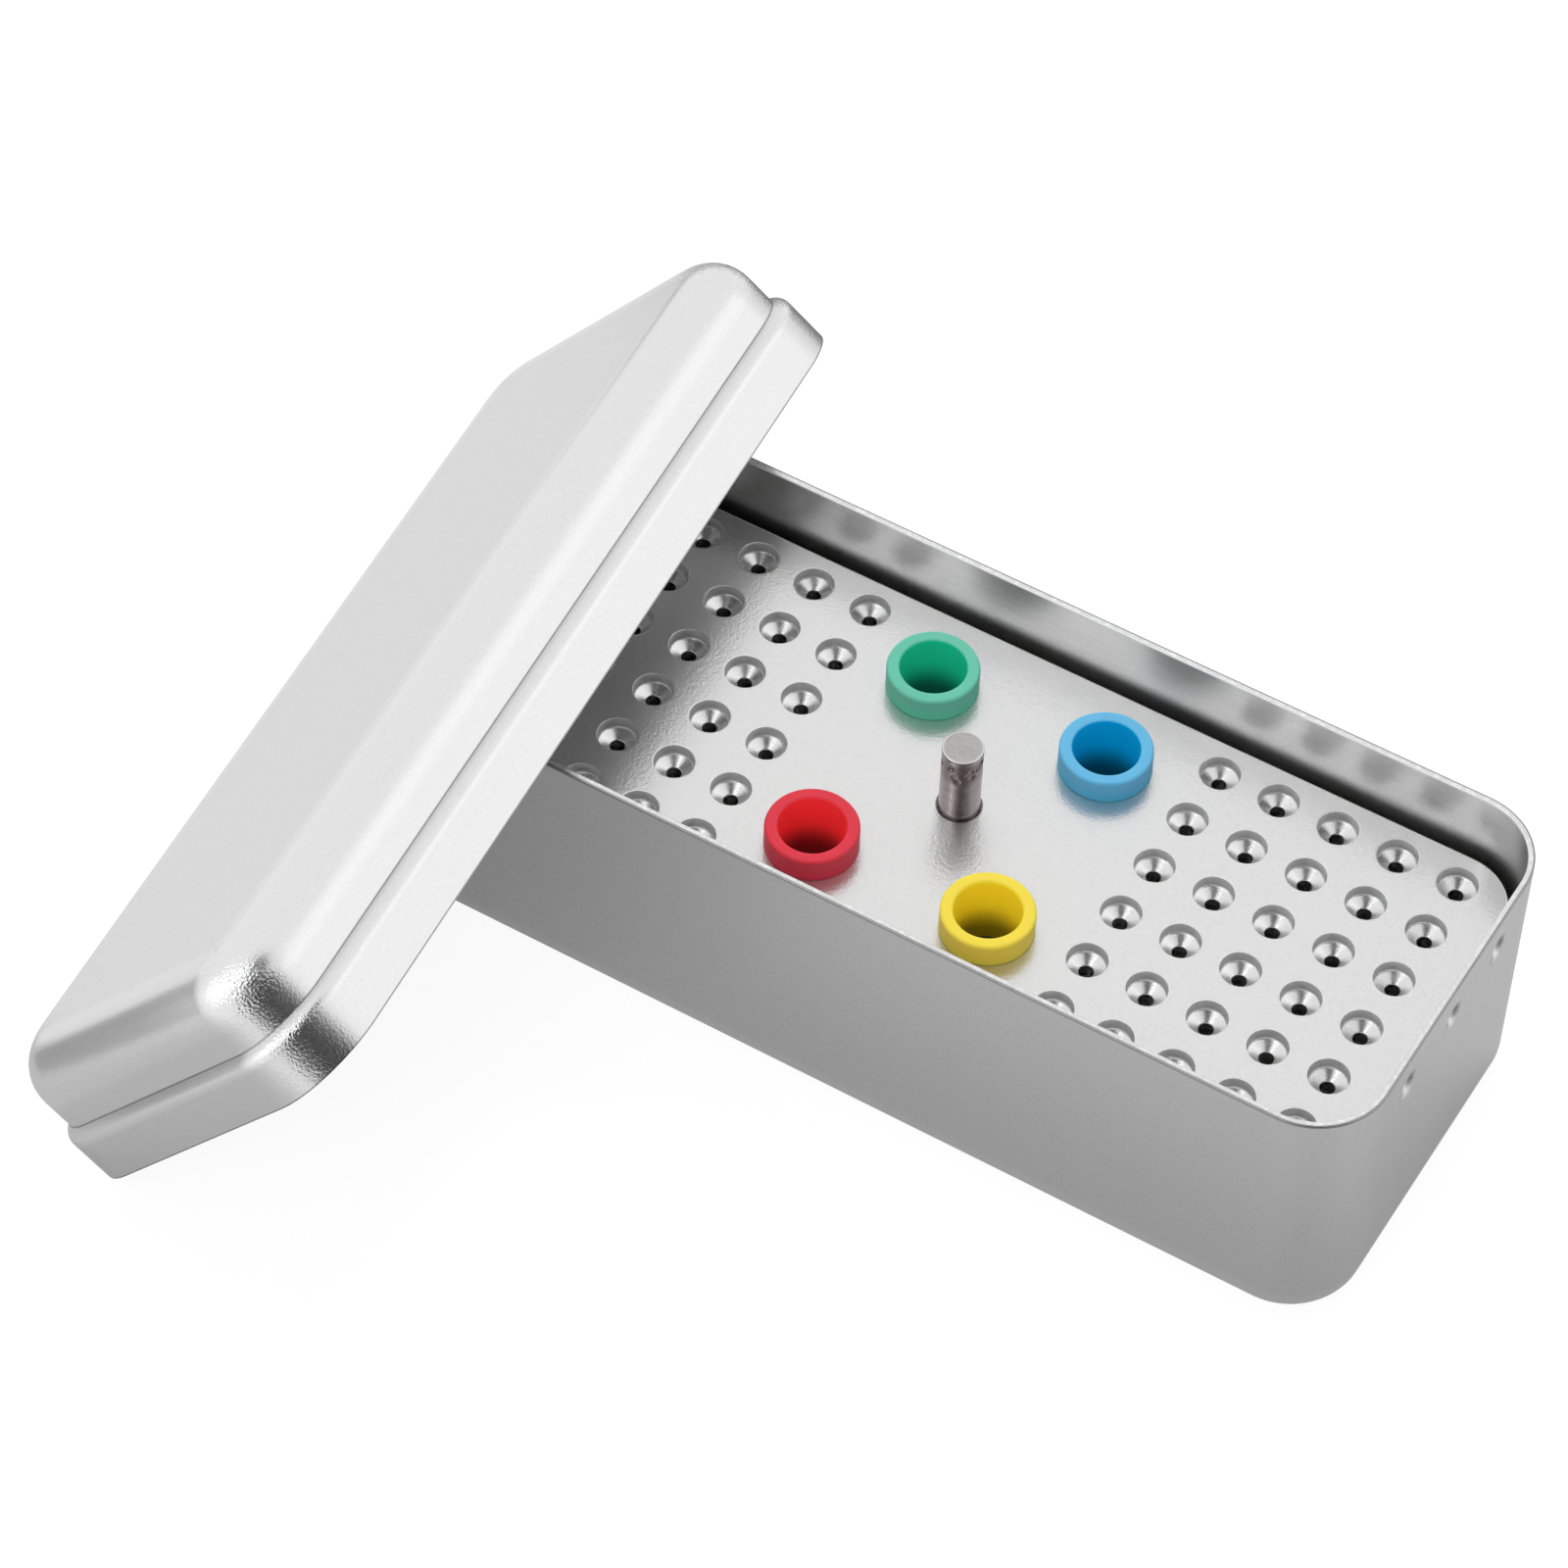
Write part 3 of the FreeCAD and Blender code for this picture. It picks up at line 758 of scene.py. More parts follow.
def sampled(value, data_type="FLOAT"):
    """A value of the section, read at the row's own point."""
    return signal(swept, "GeometryNodeSampleIndex", {"Geometry": sweep["Section"], "Index": row, "Value": value},
                  "Value", data_type=data_type, domain="POINT")


axis = signal(swept, "ShaderNodeMix", {0: side_share, 4: plan_corner(quarter), 5: plan_corner(quarter + 1.0)},
              1, data_type="VECTOR")
axis = scaled(axis, sampled(named(swept, "spread")))
profile = separated(sampled(position(swept), "FLOAT_VECTOR"))
reach = combined(profile[0] * angle.maths("COSINE"), profile[0] * angle.maths("SINE"), profile[2])
doubled = (angle * 2.0).maths("SINE")
for name in MARKS:
    body = marked(body, name, sampled(named(swept, name)))
body = marked(body, "corner", doubled * doubled)
body = then(body, "SetPosition", {"Position": vector_maths("ADD", axis, reach)})
body = then(body, "MergeByDistance", {"Distance": 0.000001})
put_out(leave, Geometry=then(body, "SetShadeSmooth"))
print("tree:", swept.name, len(swept.nodes), "nodes")


def swept_part(section_object, steps, columns, centre_x=0.0, centre_y=0.0):
    """A section object, swept by the tree above."""
    tree = section_object.tree
    outline = signal(tree, "GeometryNodeObjectInfo", {"Object": section_object}, "Geometry",
                     transform_space="ORIGINAL")
    return signal(tree, "GeometryNodeGroup", {"Section": outline, "Corner Steps": steps, "Side Columns": columns,
                  "Centre X": centre_x, "Centre Y": centre_y}, node_tree=swept)


# %% Sections
def point(r, z, **marks):
    return {"r": r, "z": z, "spread": 1.0, **marks}


def bent(route, hold=0.25 * MM, turn_step=9.0):
    """Points of a route (r, z, bend radius, marks of the run that follows). Each bend is drawn
    round, and holding points a little way before and after it keep the flats flat. A point
    without a radius is a sharp change of marks, with a holding point before it."""
    points = []
    for index, (r, z, radius, marks) in enumerate(route):
        here = Vector((r, z))
        if index in (0, len(route) - 1):
            points.append(point(r, z, **marks))
            continue
        into = (here - Vector(route[index - 1][:2])).normalized()
        if radius <= 0:
            points.append(point(*(here - into * hold), **route[index - 1][3]))
            points.append(point(r, z, **marks))
            continue
        out = (Vector(route[index + 1][:2]) - here).normalized()
        turning = into.angle(out)
        trim = radius * math.tan(turning / 2)
        inward = (out - into).normalized()
        centre = here + inward * radius / math.cos(turning / 2)
        start = here - into * trim
        before = route[index - 1][3]
        rest = max(hold, radius * 0.2)
        points.append(point(*(start - into * rest), **before))
        count = max(2, round(math.degrees(turning) / turn_step))
        side = 1 if into.cross(out) > 0 else -1
        for arc in range(count + 1):
            spoke = start - centre
            spoke.rotate(Matrix.Rotation(side * turning * arc / count, 2))
            way = marks if arc * 2 > count else before
            points.append(point(*(centre + spoke), **{**way, "stretch": 1.0}))
        points.append(point(*(centre + spoke + out * rest), **marks))
    return points


def refined(points, low, high, spacing):
    """Extra points on the upright runs between two heights."""
    count = round((high - low) / spacing)
    heights = [low + (high - low) * n / count for n in range(count + 1)]
    finer = [points[0]]
    for before, after in zip(points, points[1:]):
        bottom, top = sorted((before["z"], after["z"]))
        if abs(before["r"] - after["r"]) < 1e-7 and bottom < low and high < top:
            upwards = before["z"] < after["z"]
            finer += [{**before, "z": z, "stretch": 0.0} for z in (heights if upwards else reversed(heights))]
        finer.append(after)
    return finer


def section(name, points):
    """Small mesh of edges in the XZ plane, with the marks stored on its points."""
    mesh = bpy.data.meshes.new(name)
    mesh.from_pydata([(p["r"], 0, p["z"]) for p in points], [(n, n + 1) for n in range(len(points) - 1)], [])
    for mark_name in MARKS + ("spread",):
        store = mesh.attributes.new(mark_name, "FLOAT", "POINT")
        store.data.foreach_set("value", [float(p.get(mark_name, 0.0)) for p in points])
    made = bpy.data.objects.new(name, mesh)
    scene.collection.objects.link(made)
    return made


def centre_point(z):
    """The middle of a closed end, where all columns meet."""
    return {"r": 0.0, "z": z, "spread": 0.0}


# %% Running a tree
def run_tree(name, made_by, settings, move=None):
    """Runs a geometry node tree on an empty mesh and returns the result as a plain mesh object."""
    host = bpy.data.objects.new(name + " host", bpy.data.meshes.new(name + " host"))
    scene.collection.objects.link(host)
    modifier = host.modifiers.new("nodes", "NODES")
    modifier.node_group = made_by
    for item in made_by.interface.items_tree:
        if item.item_type == "SOCKET" and item.in_out == "INPUT" and item.name in settings:
            modifier[item.identifier] = settings[item.name]
    graph = bpy.context.evaluated_depsgraph_get()
    graph.update()
    mesh = bpy.data.meshes.new_from_object(host.evaluated_get(graph), depsgraph=graph)
    mesh.name = name
    if move is not None:
        mesh.transform(move)
    host.modifiers.remove(modifier)
    bpy.data.objects.remove(host)
    made = bpy.data.objects.new(name, mesh)
    scene.collection.objects.link(made)
    print(name, len(mesh.vertices), "points,", len(mesh.polygons), "faces")
    return made


def remove_sections(*sections):
    for used in sections:
        bpy.data.objects.remove(used)


# %% [markdown]
# ## Case and lid
# Both shells are pressed from one flat blank, so their sheet is equally thick all over and every
# bend is round. The lid has a step above its skirt. Three small dents are pressed into each end
# wall of the case, and keep the tray from jumping out. The tree *Drawn shell* sweeps the section
# and then pushes the end walls in where a dent is. The grid is finer there, because a dent is
# only as round as the points that it moves.

# %% Drawn shell tree
shell_tree, shell, leave = geometry_tree("Drawn shell", [
    ("Section", OBJECT, None), ("Centre X", FLOAT, 0.05), ("Centre Y", FLOAT, 0.02),
    ("Corner Steps", INT, 20), ("Side Columns", INT, 4), ("Dents", FLOAT, 0.0), ("Dent Pitch", FLOAT, 0.01),
    ("Dent Height", FLOAT, 0.03), ("Dent Mouth", FLOAT, 0.002), ("Dent Floor", FLOAT, 0.0005),
    ("Dent Depth", FLOAT, 0.0007), ("Finish", MATERIAL, None)])
body = swept_part(shell["Section"], shell["Corner Steps"], shell["Side Columns"], shell["Centre X"], shell["Centre Y"])
place = separated(position(shell_tree))
last_dent = (shell["Dents"] * 0.5 - 0.5).maths("MAXIMUM", 0.0)
nearest = (place[1] / shell["Dent Pitch"]).maths("ROUND")
nearest = nearest.maths("MINIMUM", last_dent).maths("MAXIMUM", last_dent * -1.0)
off_y = place[1] - nearest * shell["Dent Pitch"]
off_z = place[2] - shell["Dent Height"]
away = vector_maths("LENGTH", combined(off_y, off_z), output="Value")
at_end = place[0].maths("ABSOLUTE") > shell["Centre X"]
amount = ramp(away, shell["Dent Mouth"], shell["Dent Floor"]) * at_end * (shell["Dents"] > 0.5)
push = amount * shell["Dent Depth"] * (place[0].maths("SIGN") * -1.0)
# A ring of painted shade round each dent's mouth, strongest at its sides, joins the dark lines.
dent_rim_painted_shade = amount * (1.0 - amount) * (off_y.maths("ABSOLUTE") / away.maths("MAXIMUM", 0.0001))
body = marked(body, "burr", dent_rim_painted_shade * 6.5 + named(shell_tree, "burr"))
body = marked(body, "press", amount > 0.02)
body = then(body, "SetPosition", {"Offset": combined(push)})
body = then(body, "RealizeInstances")
put_out(leave, Geometry=then(body, "SetMaterial", {"Material": shell["Finish"]}))

# %% Case
# Marks of the finish: `edge` and `patchy` are the raw cut rim, which the finish also paints lighter as a highlight;
# `line` is a painted dark line of shade; `inside` is painted darker as shade.
plain = {}
edge = {"rim": 1.0}
patchy = {"rim": 0.42}
line = {"burr": 1.0}
inside = {"bare": 1.0}
dull = {"dull": 1.0}
outer = CASE_CORNER
inner = CASE_CORNER - SHEET
dent_room = 2.2 * MM
case_route = bent([
    (0, 0, 0, plain),
    (outer, 0, CASE_FOOT, plain),
    # The outer rounding of the rim is painted as a dark line of shade.
    (outer, CASE_HEIGHT - 0.26 * MM, 0, line),
    (outer, CASE_HEIGHT, 0.14 * MM, line),
    (outer - 0.26 * MM, CASE_HEIGHT, 0, patchy),
    (inner, CASE_HEIGHT, 0.16 * MM, edge),
    (inner, CASE_HEIGHT - 0.3 * MM, 0, inside),
    (inner, SHEET, CASE_FOOT - SHEET, inside),
    (0, SHEET, 0, inside),
], hold=0.04 * MM)
case_route = refined(case_route, DENT_HEIGHT - dent_room, DENT_HEIGHT + dent_room, 0.22 * MM)
case_section = section("case section", [centre_point(0.0)] + case_route + [centre_point(SHEET)])
case_shell = run_tree("case_shell", shell_tree, {
    "Section": case_section, "Centre X": CASE_HALF_X - CASE_CORNER, "Centre Y": CASE_HALF_Y - CASE_CORNER,
    "Corner Steps": 24, "Side Columns": 140, "Dents": 3.0, "Dent Pitch": DENT_PITCH, "Dent Height": DENT_HEIGHT,
    "Dent Mouth": DENT_MOUTH, "Dent Floor": DENT_FLOOR, "Dent Depth": DENT_DEPTH, "Finish": case_sheet})
remove_sections(case_section)
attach(case_shell, "case")
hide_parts("case")

# %% Lid
skirt_outer = LID_CORNER
skirt_inner = LID_CORNER - SHEET
wall_outer = LID_CORNER - LID_STEP_INSET
wall_inner = wall_outer - SHEET
step_low = LID_SKIRT
step_high = LID_SKIRT + LID_STEP_HEIGHT
lid_route = bent([
    (0, LID_HEIGHT - SHEET, 0, dull),
    (wall_inner, LID_HEIGHT - SHEET, LID_TOP_BEND - SHEET, dull),
    (wall_inner, step_high, LID_CREASE_BEND + SHEET / 2, dull),
    (skirt_inner, step_low, LID_STEP_BEND - SHEET / 2, dull),
    (skirt_inner, 0.24 * MM, 0, edge),
    (skirt_inner, 0, 0.12 * MM, edge),
    # The skirt's foot is painted as a dark line of shade.
    (skirt_outer, 0, 0.08 * MM, line),
    (skirt_outer, 0.2 * MM, 0, plain),
    # The step is painted a little darker as shade, and the crease above it as a dark line of shade.
    (skirt_outer, step_low, LID_STEP_BEND + SHEET / 2, {"burr": 0.08}),
    (wall_outer + 0.09 * MM, step_high - 0.062 * MM, 0, line),
    (wall_outer, step_high, LID_CREASE_BEND - SHEET / 2, line),
    (wall_outer, step_high + 0.12 * MM, 0, plain),
    (wall_outer, LID_HEIGHT, LID_TOP_BEND, plain),
    (0, LID_HEIGHT, 0, plain),
], hold=0.03 * MM)
lid_section = section("lid section", [centre_point(LID_HEIGHT - SHEET)] + lid_route + [centre_point(LID_HEIGHT)])
lid_place = Matrix.Translation(LID_PLACE) @ Matrix.Rotation(LID_YAW, 4, "Z") @ Matrix.Rotation(-LID_TILT, 4, "Y")
lid_shell = run_tree("lid_shell", shell_tree, {
    "Section": lid_section, "Centre X": LID_HALF_X - LID_CORNER, "Centre Y": LID_HALF_Y - LID_CORNER,
    "Corner Steps": 28, "Side Columns": 3, "Dents": 0.0, "Finish": lid_sheet}, move=lid_place)
remove_sections(lid_section)
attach(lid_shell, "lid")
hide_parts("lid")

# %% [markdown]
# ## Tray plate
# Sixty seats are drilled in two fields of five by six: a round mouth for a file's handle, the
# cone that the drill's point leaves, and a small hole for its shank. A boolean with sixty
# cutters gives a poor mesh. Here each hole is a small turned surface that the tree
# places on a grid of points. The open borders of all these surfaces and of the plate's own edge
# are then turned into curves, and *Fill Curve* lays the top and bottom faces between them.

# %% Drilled plate tree
plate_tree, tray, leave = geometry_tree("Drilled plate", [
    ("Edge Section", OBJECT, None), ("Seat Section", OBJECT, None), ("Sleeve Hole Section", OBJECT, None),
    ("Pin Seat Section", OBJECT, None), ("Centre X", FLOAT, 0.05), ("Centre Y", FLOAT, 0.02),
    ("Columns", INT, 5), ("Rows", INT, 6), ("Column Pitch", FLOAT, 0.0076), ("Row Pitch", FLOAT, 0.0079),
    ("Field Offset", FLOAT, 0.04), ("Sleeve Spread X", FLOAT, 0.02), ("Sleeve Spread Y", FLOAT, 0.02),
    ("Top", FLOAT, 0.03), ("Bottom", FLOAT, 0.02), ("Burr", FLOAT, 0.00003), ("Seed", FLOAT, 3.0),
    ("Satin", MATERIAL, None), ("Bare", MATERIAL, None)])
HALF = (0.5, 0.5, 0.5)


def field(side):
    """Points of one field of seats, to the left or the right of the middle."""
    spots = signal(plate_tree, "GeometryNodeMeshGrid", {
        "Size X": (tray["Columns"] - 1.0) * tray["Column Pitch"], "Size Y": (tray["Rows"] - 1.0) * tray["Row Pitch"],
        "Vertices X": tray["Columns"], "Vertices Y": tray["Rows"]})
    return then(spots, "Transform", {"Translation": combined(tray["Field Offset"] * side)})


seats = then(joined(field(-1.0), field(1.0)), "InstanceOnPoints", {"Instance": swept_part(tray["Seat Section"], 8, 0)})
pairs = signal(plate_tree, "GeometryNodeMeshGrid", {"Size X": tray["Sleeve Spread X"],
               "Size Y": tray["Sleeve Spread Y"], "Vertices X": 2, "Vertices Y": 2})
sleeve_holes = then(pairs, "InstanceOnPoints", {"Instance": swept_part(tray["Sleeve Hole Section"], 12, 0)})
pin_seat = swept_part(tray["Pin Seat Section"], 12, 0)
plate_edge = swept_part(tray["Edge Section"], 14, 6, tray["Centre X"], tray["Centre Y"])
walls = then(joined(seats, sleeve_holes, pin_seat, plate_edge), "RealizeInstances")
ragged = signal(plate_tree, "ShaderNodeTexNoise", {"Scale": 2200.0, "W": tray["Seed"], "Detail": 2.0}, "Color",
                noise_dimensions="4D")
wander = scaled(vector_maths("SUBTRACT", ragged, HALF), named(plate_tree, "burr") * tray["Burr"])
walls = then(walls, "SetPosition", {"Offset": wander})
edge_faces = signal(plate_tree, "GeometryNodeInputMeshEdgeNeighbors")
border = signal(plate_tree, "FunctionNodeCompare", {"A": edge_faces, "B": 1}, data_type="INT", operation="EQUAL")
above = separated(position(plate_tree))[2] > (tray["Top"] + tray["Bottom"]) * 0.5


def filled(flat_height, upper):
    """Flat face between the open borders of all walls, above or below the middle of the plate."""
    chosen = border * above if upper else border * (1.0 - above)
    face = then(then(walls, "MeshToCurve", {"Selection": chosen}), "FillCurve", mode="TRIANGLES")
    face = face if upper else then(face, "FlipFaces")
    return then(face, "Transform", {"Translation": combined(0.0, 0.0, flat_height)})


closed = joined(walls, filled(tray["Top"], True), filled(tray["Bottom"], False))
closed = then(closed, "MergeByDistance", {"Distance": 0.000002})
closed = then(then(closed, "SetShadeSmooth"), "SetMaterial", {"Material": tray["Satin"]})
is_bare = named(plate_tree, "bare") > 0.4
put_out(leave, Geometry=then(closed, "SetMaterial", {"Selection": is_bare, "Material": tray["Bare"]}))

# %% Plate
# `shine` and `fillet` carry `stretch`, which the drilled seats' finish paints as a highlight line; `wall` is painted a
# little darker as shade.
bare = {"bare": 1.0}
burred = {"bare": 1.0, "burr": 1.0}
wall = {"bare": 1.0, "rim": 1.0}
shine = {"bare": 1.0, "stretch": 1.0}
fillet = {"bare": 1.0, "stretch": 0.5}
mouth = 2.4 * MM
small = 0.85 * MM
cone_top = PLATE_TOP - 1.5 * MM
drill_half_angle = math.radians(67.5)
cone_end = cone_top - (mouth - small) / math.tan(drill_half_angle)
seat_section = section("seat section", [
    point(mouth + 0.25 * MM, PLATE_TOP),
    point(mouth + 0.05 * MM, PLATE_TOP),
    point(mouth + 0.02 * MM, PLATE_TOP - 0.01 * MM, **burred, stretch=1.0),
    point(mouth, PLATE_TOP - 0.04 * MM, **burred, rim=1.0),
    point(mouth, cone_top + 0.2 * MM, **wall),
    point(mouth - 0.015 * MM, cone_top + 0.1 * MM, **wall),
    point(mouth - 0.06 * MM, cone_top + 0.01 * MM, **fillet),
    point(mouth - 0.13 * MM, cone_top - 0.06 * MM, **fillet),
    point(mouth - 0.22 * MM, cone_top - 0.13 * MM, **bare),
    point(small + 0.12 * MM, cone_end + 0.07 * MM, **bare),
    point(small + 0.02 * MM, cone_end - 0.02 * MM, **bare),
    point(small, cone_end - 0.1 * MM, **bare),
    point(small, PLATE_BOTTOM + 0.05 * MM, **bare),
    point(small + 0.15 * MM, PLATE_BOTTOM),
])
sleeve_hole_radius = 5.05 * MM
sleeve_section = section("sleeve hole section", [
    point(sleeve_hole_radius + 0.3 * MM, PLATE_TOP),
    point(sleeve_hole_radius + 0.05 * MM, PLATE_TOP),
    point(sleeve_hole_radius, PLATE_TOP - 0.05 * MM, **bare),
    point(sleeve_hole_radius, PLATE_BOTTOM + 0.05 * MM, **bare),
    point(sleeve_hole_radius + 0.05 * MM, PLATE_BOTTOM, **bare),
    point(sleeve_hole_radius + 0.3 * MM, PLATE_BOTTOM),
])
PIN_SEAT_RADIUS = 2.65 * MM
PIN_SEAT_FLOOR = PLATE_TOP - 0.3 * MM
stud_hole = 2.03 * MM
pin_section = section("pin seat section", [
    point(PIN_SEAT_RADIUS + 0.3 * MM, PLATE_TOP),
    point(PIN_SEAT_RADIUS + 0.08 * MM, PLATE_TOP),
    point(PIN_SEAT_RADIUS + 0.02 * MM, PLATE_TOP - 0.02 * MM, **burred),
    point(PIN_SEAT_RADIUS - 0.02 * MM, PLATE_TOP - 0.06 * MM, **burred),
    point(PIN_SEAT_RADIUS - 0.16 * MM, PIN_SEAT_FLOOR, **bare),
    point(stud_hole, PIN_SEAT_FLOOR, **bare),
    point(stud_hole, PLATE_BOTTOM, **bare),
    point(stud_hole + 0.3 * MM, PLATE_BOTTOM),
])
chamfer = 0.3 * MM
edge_section = section("plate edge section", [
    point(PLATE_CORNER - chamfer - 0.3 * MM, PLATE_BOTTOM),
    point(PLATE_CORNER - 0.05 * MM, PLATE_BOTTOM),
    point(PLATE_CORNER, PLATE_BOTTOM + 0.05 * MM),
    point(PLATE_CORNER, PLATE_TOP - chamfer - 0.05 * MM),
    point(PLATE_CORNER, PLATE_TOP - chamfer, **bare),
    point(PLATE_CORNER - chamfer * 0.4, PLATE_TOP - chamfer * 0.35, **shine),
    point(PLATE_CORNER - chamfer, PLATE_TOP, **shine),
    point(PLATE_CORNER - chamfer - 0.06 * MM, PLATE_TOP),
    point(PLATE_CORNER - chamfer - 0.3 * MM, PLATE_TOP),
])
sleeve_low, sleeve_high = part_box("sleeve_yellow")
SLEEVE_X = (sleeve_low.x + sleeve_high.x) / 2
SLEEVE_Y = -(sleeve_low.y + sleeve_high.y) / 2
plate = run_tree("drilled_plate", plate_tree, {
    "Edge Section": edge_section, "Seat Section": seat_section, "Sleeve Hole Section": sleeve_section,
    "Pin Seat Section": pin_section, "Centre X": PLATE_HALF_X - PLATE_CORNER,
    "Centre Y": PLATE_HALF_Y - PLATE_CORNER,
    "Columns": COLUMNS, "Rows": ROWS, "Column Pitch": COLUMN_PITCH, "Row Pitch": ROW_PITCH,
    "Field Offset": FIELD_INNER + COLUMN_PITCH * (COLUMNS - 1) / 2, "Sleeve Spread X": 2 * SLEEVE_X,
    "Sleeve Spread Y": 2 * SLEEVE_Y, "Top": PLATE_TOP, "Bottom": PLATE_BOTTOM, "Burr": 0.05 * MM, "Seed": 3.0,
    "Satin": tray_satin, "Bare": tray_bare})
remove_sections(seat_section, sleeve_section, pin_section, edge_section)
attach(plate, "tray")
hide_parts("tray_plate")

# %% [markdown]
# ## Silicone sleeves
# A sleeve is a short tube: a neck goes through the plate and the head stands on it. Soft
# mouldings are never quite true, so the tree that turns them also moves each point a few
# hundredths of a millimetre along a slow noise, with another seed for each sleeve.

# %% Turned piece tree
turned_tree, turned, leave = geometry_tree("Turned piece", [
    ("Section", OBJECT, None), ("Wobble", FLOAT, 0.0), ("Wobble Size", FLOAT, 0.004), ("Seed", FLOAT, 0.0),
    ("Place", VECTOR, None), ("Finish", MATERIAL, None)])
drift = signal(turned_tree, "ShaderNodeTexNoise", {"Scale": 1.0 / turned["Wobble Size"], "W": turned["Seed"],
               "Detail": 1.0}, "Color", noise_dimensions="4D")
drift = scaled(vector_maths("SUBTRACT", drift, HALF), turned["Wobble"])
body = then(swept_part(turned["Section"], 24, 0), "SetPosition", {"Offset": drift})
body = then(then(body, "Transform", {"Translation": turned["Place"]}), "RealizeInstances")
put_out(leave, Geometry=then(body, "SetMaterial", {"Material": turned["Finish"]}))

# %% Sleeves
sleeve_top = sleeve_high.z
sleeve_bottom = sleeve_low.z + 0.05 * MM
head = 5.45 * MM
neck = 5.0 * MM
bore = 3.93 * MM
ring_route = bent([
    ((neck + bore) / 2, sleeve_bottom, 0, plain),
    (neck, sleeve_bottom, 0.2 * MM, plain),
    (neck, PLATE_TOP + 0.1 * MM, 0, plain),
    (head, PLATE_TOP + 0.03 * MM, 0.12 * MM, plain),
    (head, sleeve_top - 0.03 * MM, 0.4 * MM, plain),
    # The bore is marked `inside`, and its finish paints it in a more saturated colour of light, darker with depth as
    # shade.
    (bore, sleeve_top - 0.03 * MM, 0.3 * MM, inside),
    (bore, sleeve_bottom, 0.2 * MM, inside),
    ((neck + bore) / 2, sleeve_bottom, 0, plain),
], hold=0.1 * MM, turn_step=15)
ring_section = section("sleeve section", ring_route)
for seed, (name, material) in enumerate(sleeve_silicone.items()):
    node = "sleeve_" + name
    low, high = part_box(node)
    sleeve = run_tree("silicone_" + name, turned_tree, {
        "Section": ring_section, "Wobble": 0.1 * MM, "Wobble Size": 4.0 * MM, "Seed": 1.7 * seed,
        "Place": ((low.x + high.x) / 2, (low.y + high.y) / 2, 0.0), "Finish": material})
    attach(sleeve, name + "_sleeve")
    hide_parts(node)
    "silicone_" + name
remove_sections(ring_section)

# %% [markdown]
# ## Lifting pin
# The pin is a plain steel rod with a flat top. It was gripped under its head when it was
# fitted, and the jaws left a band of small bites. The rod is turned by the same tree, with many
# rows in that band. Each bite is then a ball that presses into it: a point inside the ball is
# moved in to the ball's surface, which leaves sharp ridges between neighbouring bites.

# %% Pin
BITES = 34
PIN_RADIUS = 2.4 * MM
STUD_RADIUS = 2.0 * MM
pin_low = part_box("lifting_pin")[0].z
band_top = pin_top - 1.0 * MM
band_low = pin_top - 4.4 * MM
band_rows = 40
pin_points = [
    centre_point(pin_low),
    point(STUD_RADIUS - 0.35 * MM, pin_low),
    point(STUD_RADIUS, pin_low + 0.35 * MM),
    point(STUD_RADIUS, PIN_SEAT_FLOOR - 0.02 * MM),
    point(PIN_RADIUS - 0.05 * MM, PIN_SEAT_FLOOR),
    point(PIN_RADIUS, PIN_SEAT_FLOOR + 0.05 * MM),
    point(PIN_RADIUS, PIN_SEAT_FLOOR + 0.15 * MM),
]
pin_points += [point(PIN_RADIUS, band_low + (band_top - band_low) * n / band_rows) for n in range(band_rows + 1)]
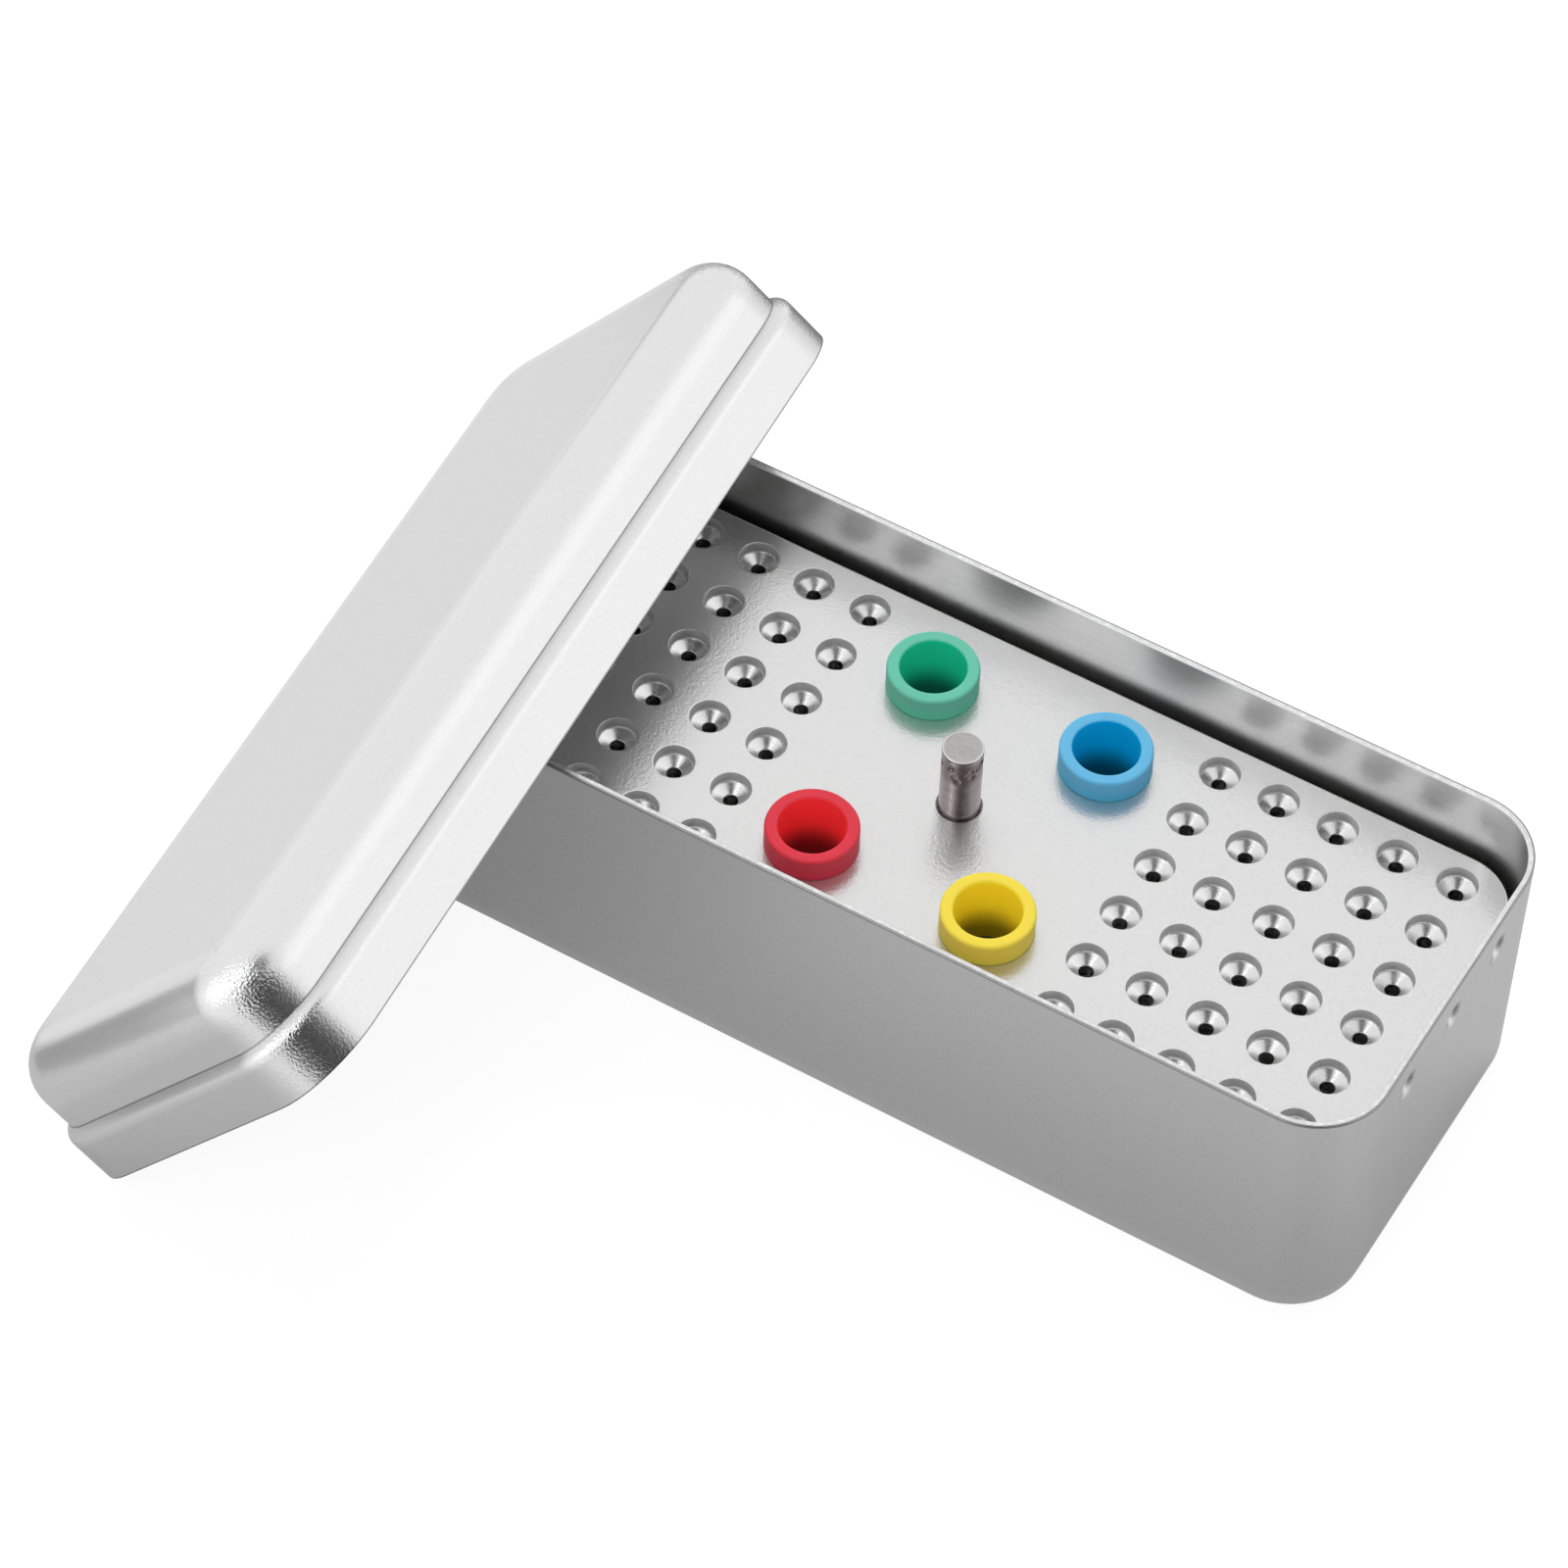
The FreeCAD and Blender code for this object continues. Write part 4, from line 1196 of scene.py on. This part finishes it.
pin_points += [
    point(PIN_RADIUS, pin_top - 0.45 * MM),
    point(PIN_RADIUS, pin_top - 0.16 * MM),
    # The top face is marked `bare` for its lighter colour of painted light, and its chamfer `stretch` for a painted
    # highlight.
    point(PIN_RADIUS - 0.04 * MM, pin_top - 0.06 * MM, bare=1.0, stretch=1.0),
    point(PIN_RADIUS - 0.12 * MM, pin_top, bare=1.0, stretch=1.0),
    point(PIN_RADIUS - 0.25 * MM, pin_top, bare=1.0),
    {**centre_point(pin_top), "bare": 1.0},
]
pin_outline = section("pin section", pin_points)
pin = run_tree("steel_pin", turned_tree, {
    "Section": pin_outline, "Wobble": 0.0, "Wobble Size": 1.0 * MM, "Seed": 0.0, "Place": (0.0, 0.0, 0.0),
    "Finish": pin_steel})
remove_sections(pin_outline)

chance = random.Random(11)
bites = []
for _ in range(BITES):
    angle = chance.uniform(0, 2 * math.pi)
    height = chance.uniform(band_low + 0.5 * MM, band_top - 0.3 * MM)
    ball = chance.uniform(0.5, 1.1) * MM
    depth = chance.uniform(0.12, 0.24) * MM
    away = PIN_RADIUS + ball - depth
    bites.append((Vector((away * math.cos(angle), away * math.sin(angle), height)), ball))
pressed = 0
for vertex in pin.data.vertices:
    if not band_low - 0.5 * MM < vertex.co.z < pin_top - 0.5 * MM:
        continue
    for centre, ball in bites:
        apart = vertex.co - centre
        if apart.length < ball:
            inward = Vector((-centre.x, -centre.y, 0)).normalized()
            along = apart.dot(inward)
            side = apart - inward * along
            reach_in = math.sqrt(max(ball ** 2 - side.length ** 2, 0))
            vertex.co = centre + side + inward * reach_in
            pressed += 1
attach(pin, "tray")
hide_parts("lifting_pin")
print("pin: points moved by the jaws:", pressed)

# %% [markdown]
# ## Legs, washer and nut
# These solids are turned and milled parts whose shape is right as it is, so only their finish
# changes: the material goes into the slots that their meshes already have.

# %% Finish the plain solids
FINISHES = {"case": case_sheet, "lid": lid_sheet, "tray_plate": tray_satin, "lifting_pin": pin_steel,
            "pin_washer": fastener_steel, "pin_nut": fastener_steel}
for place in ("front_left", "front_right", "back_left", "back_right"):
    FINISHES["leg_" + place] = leg_aluminium
for name, material in sleeve_silicone.items():
    FINISHES["sleeve_" + name] = material
for name, material in FINISHES.items():
    slots = nodes[name].data.materials
    if not slots:
        slots.append(material)
    for index in range(len(slots)):
        slots[index] = material
print("finished:", ", ".join(FINISHES))
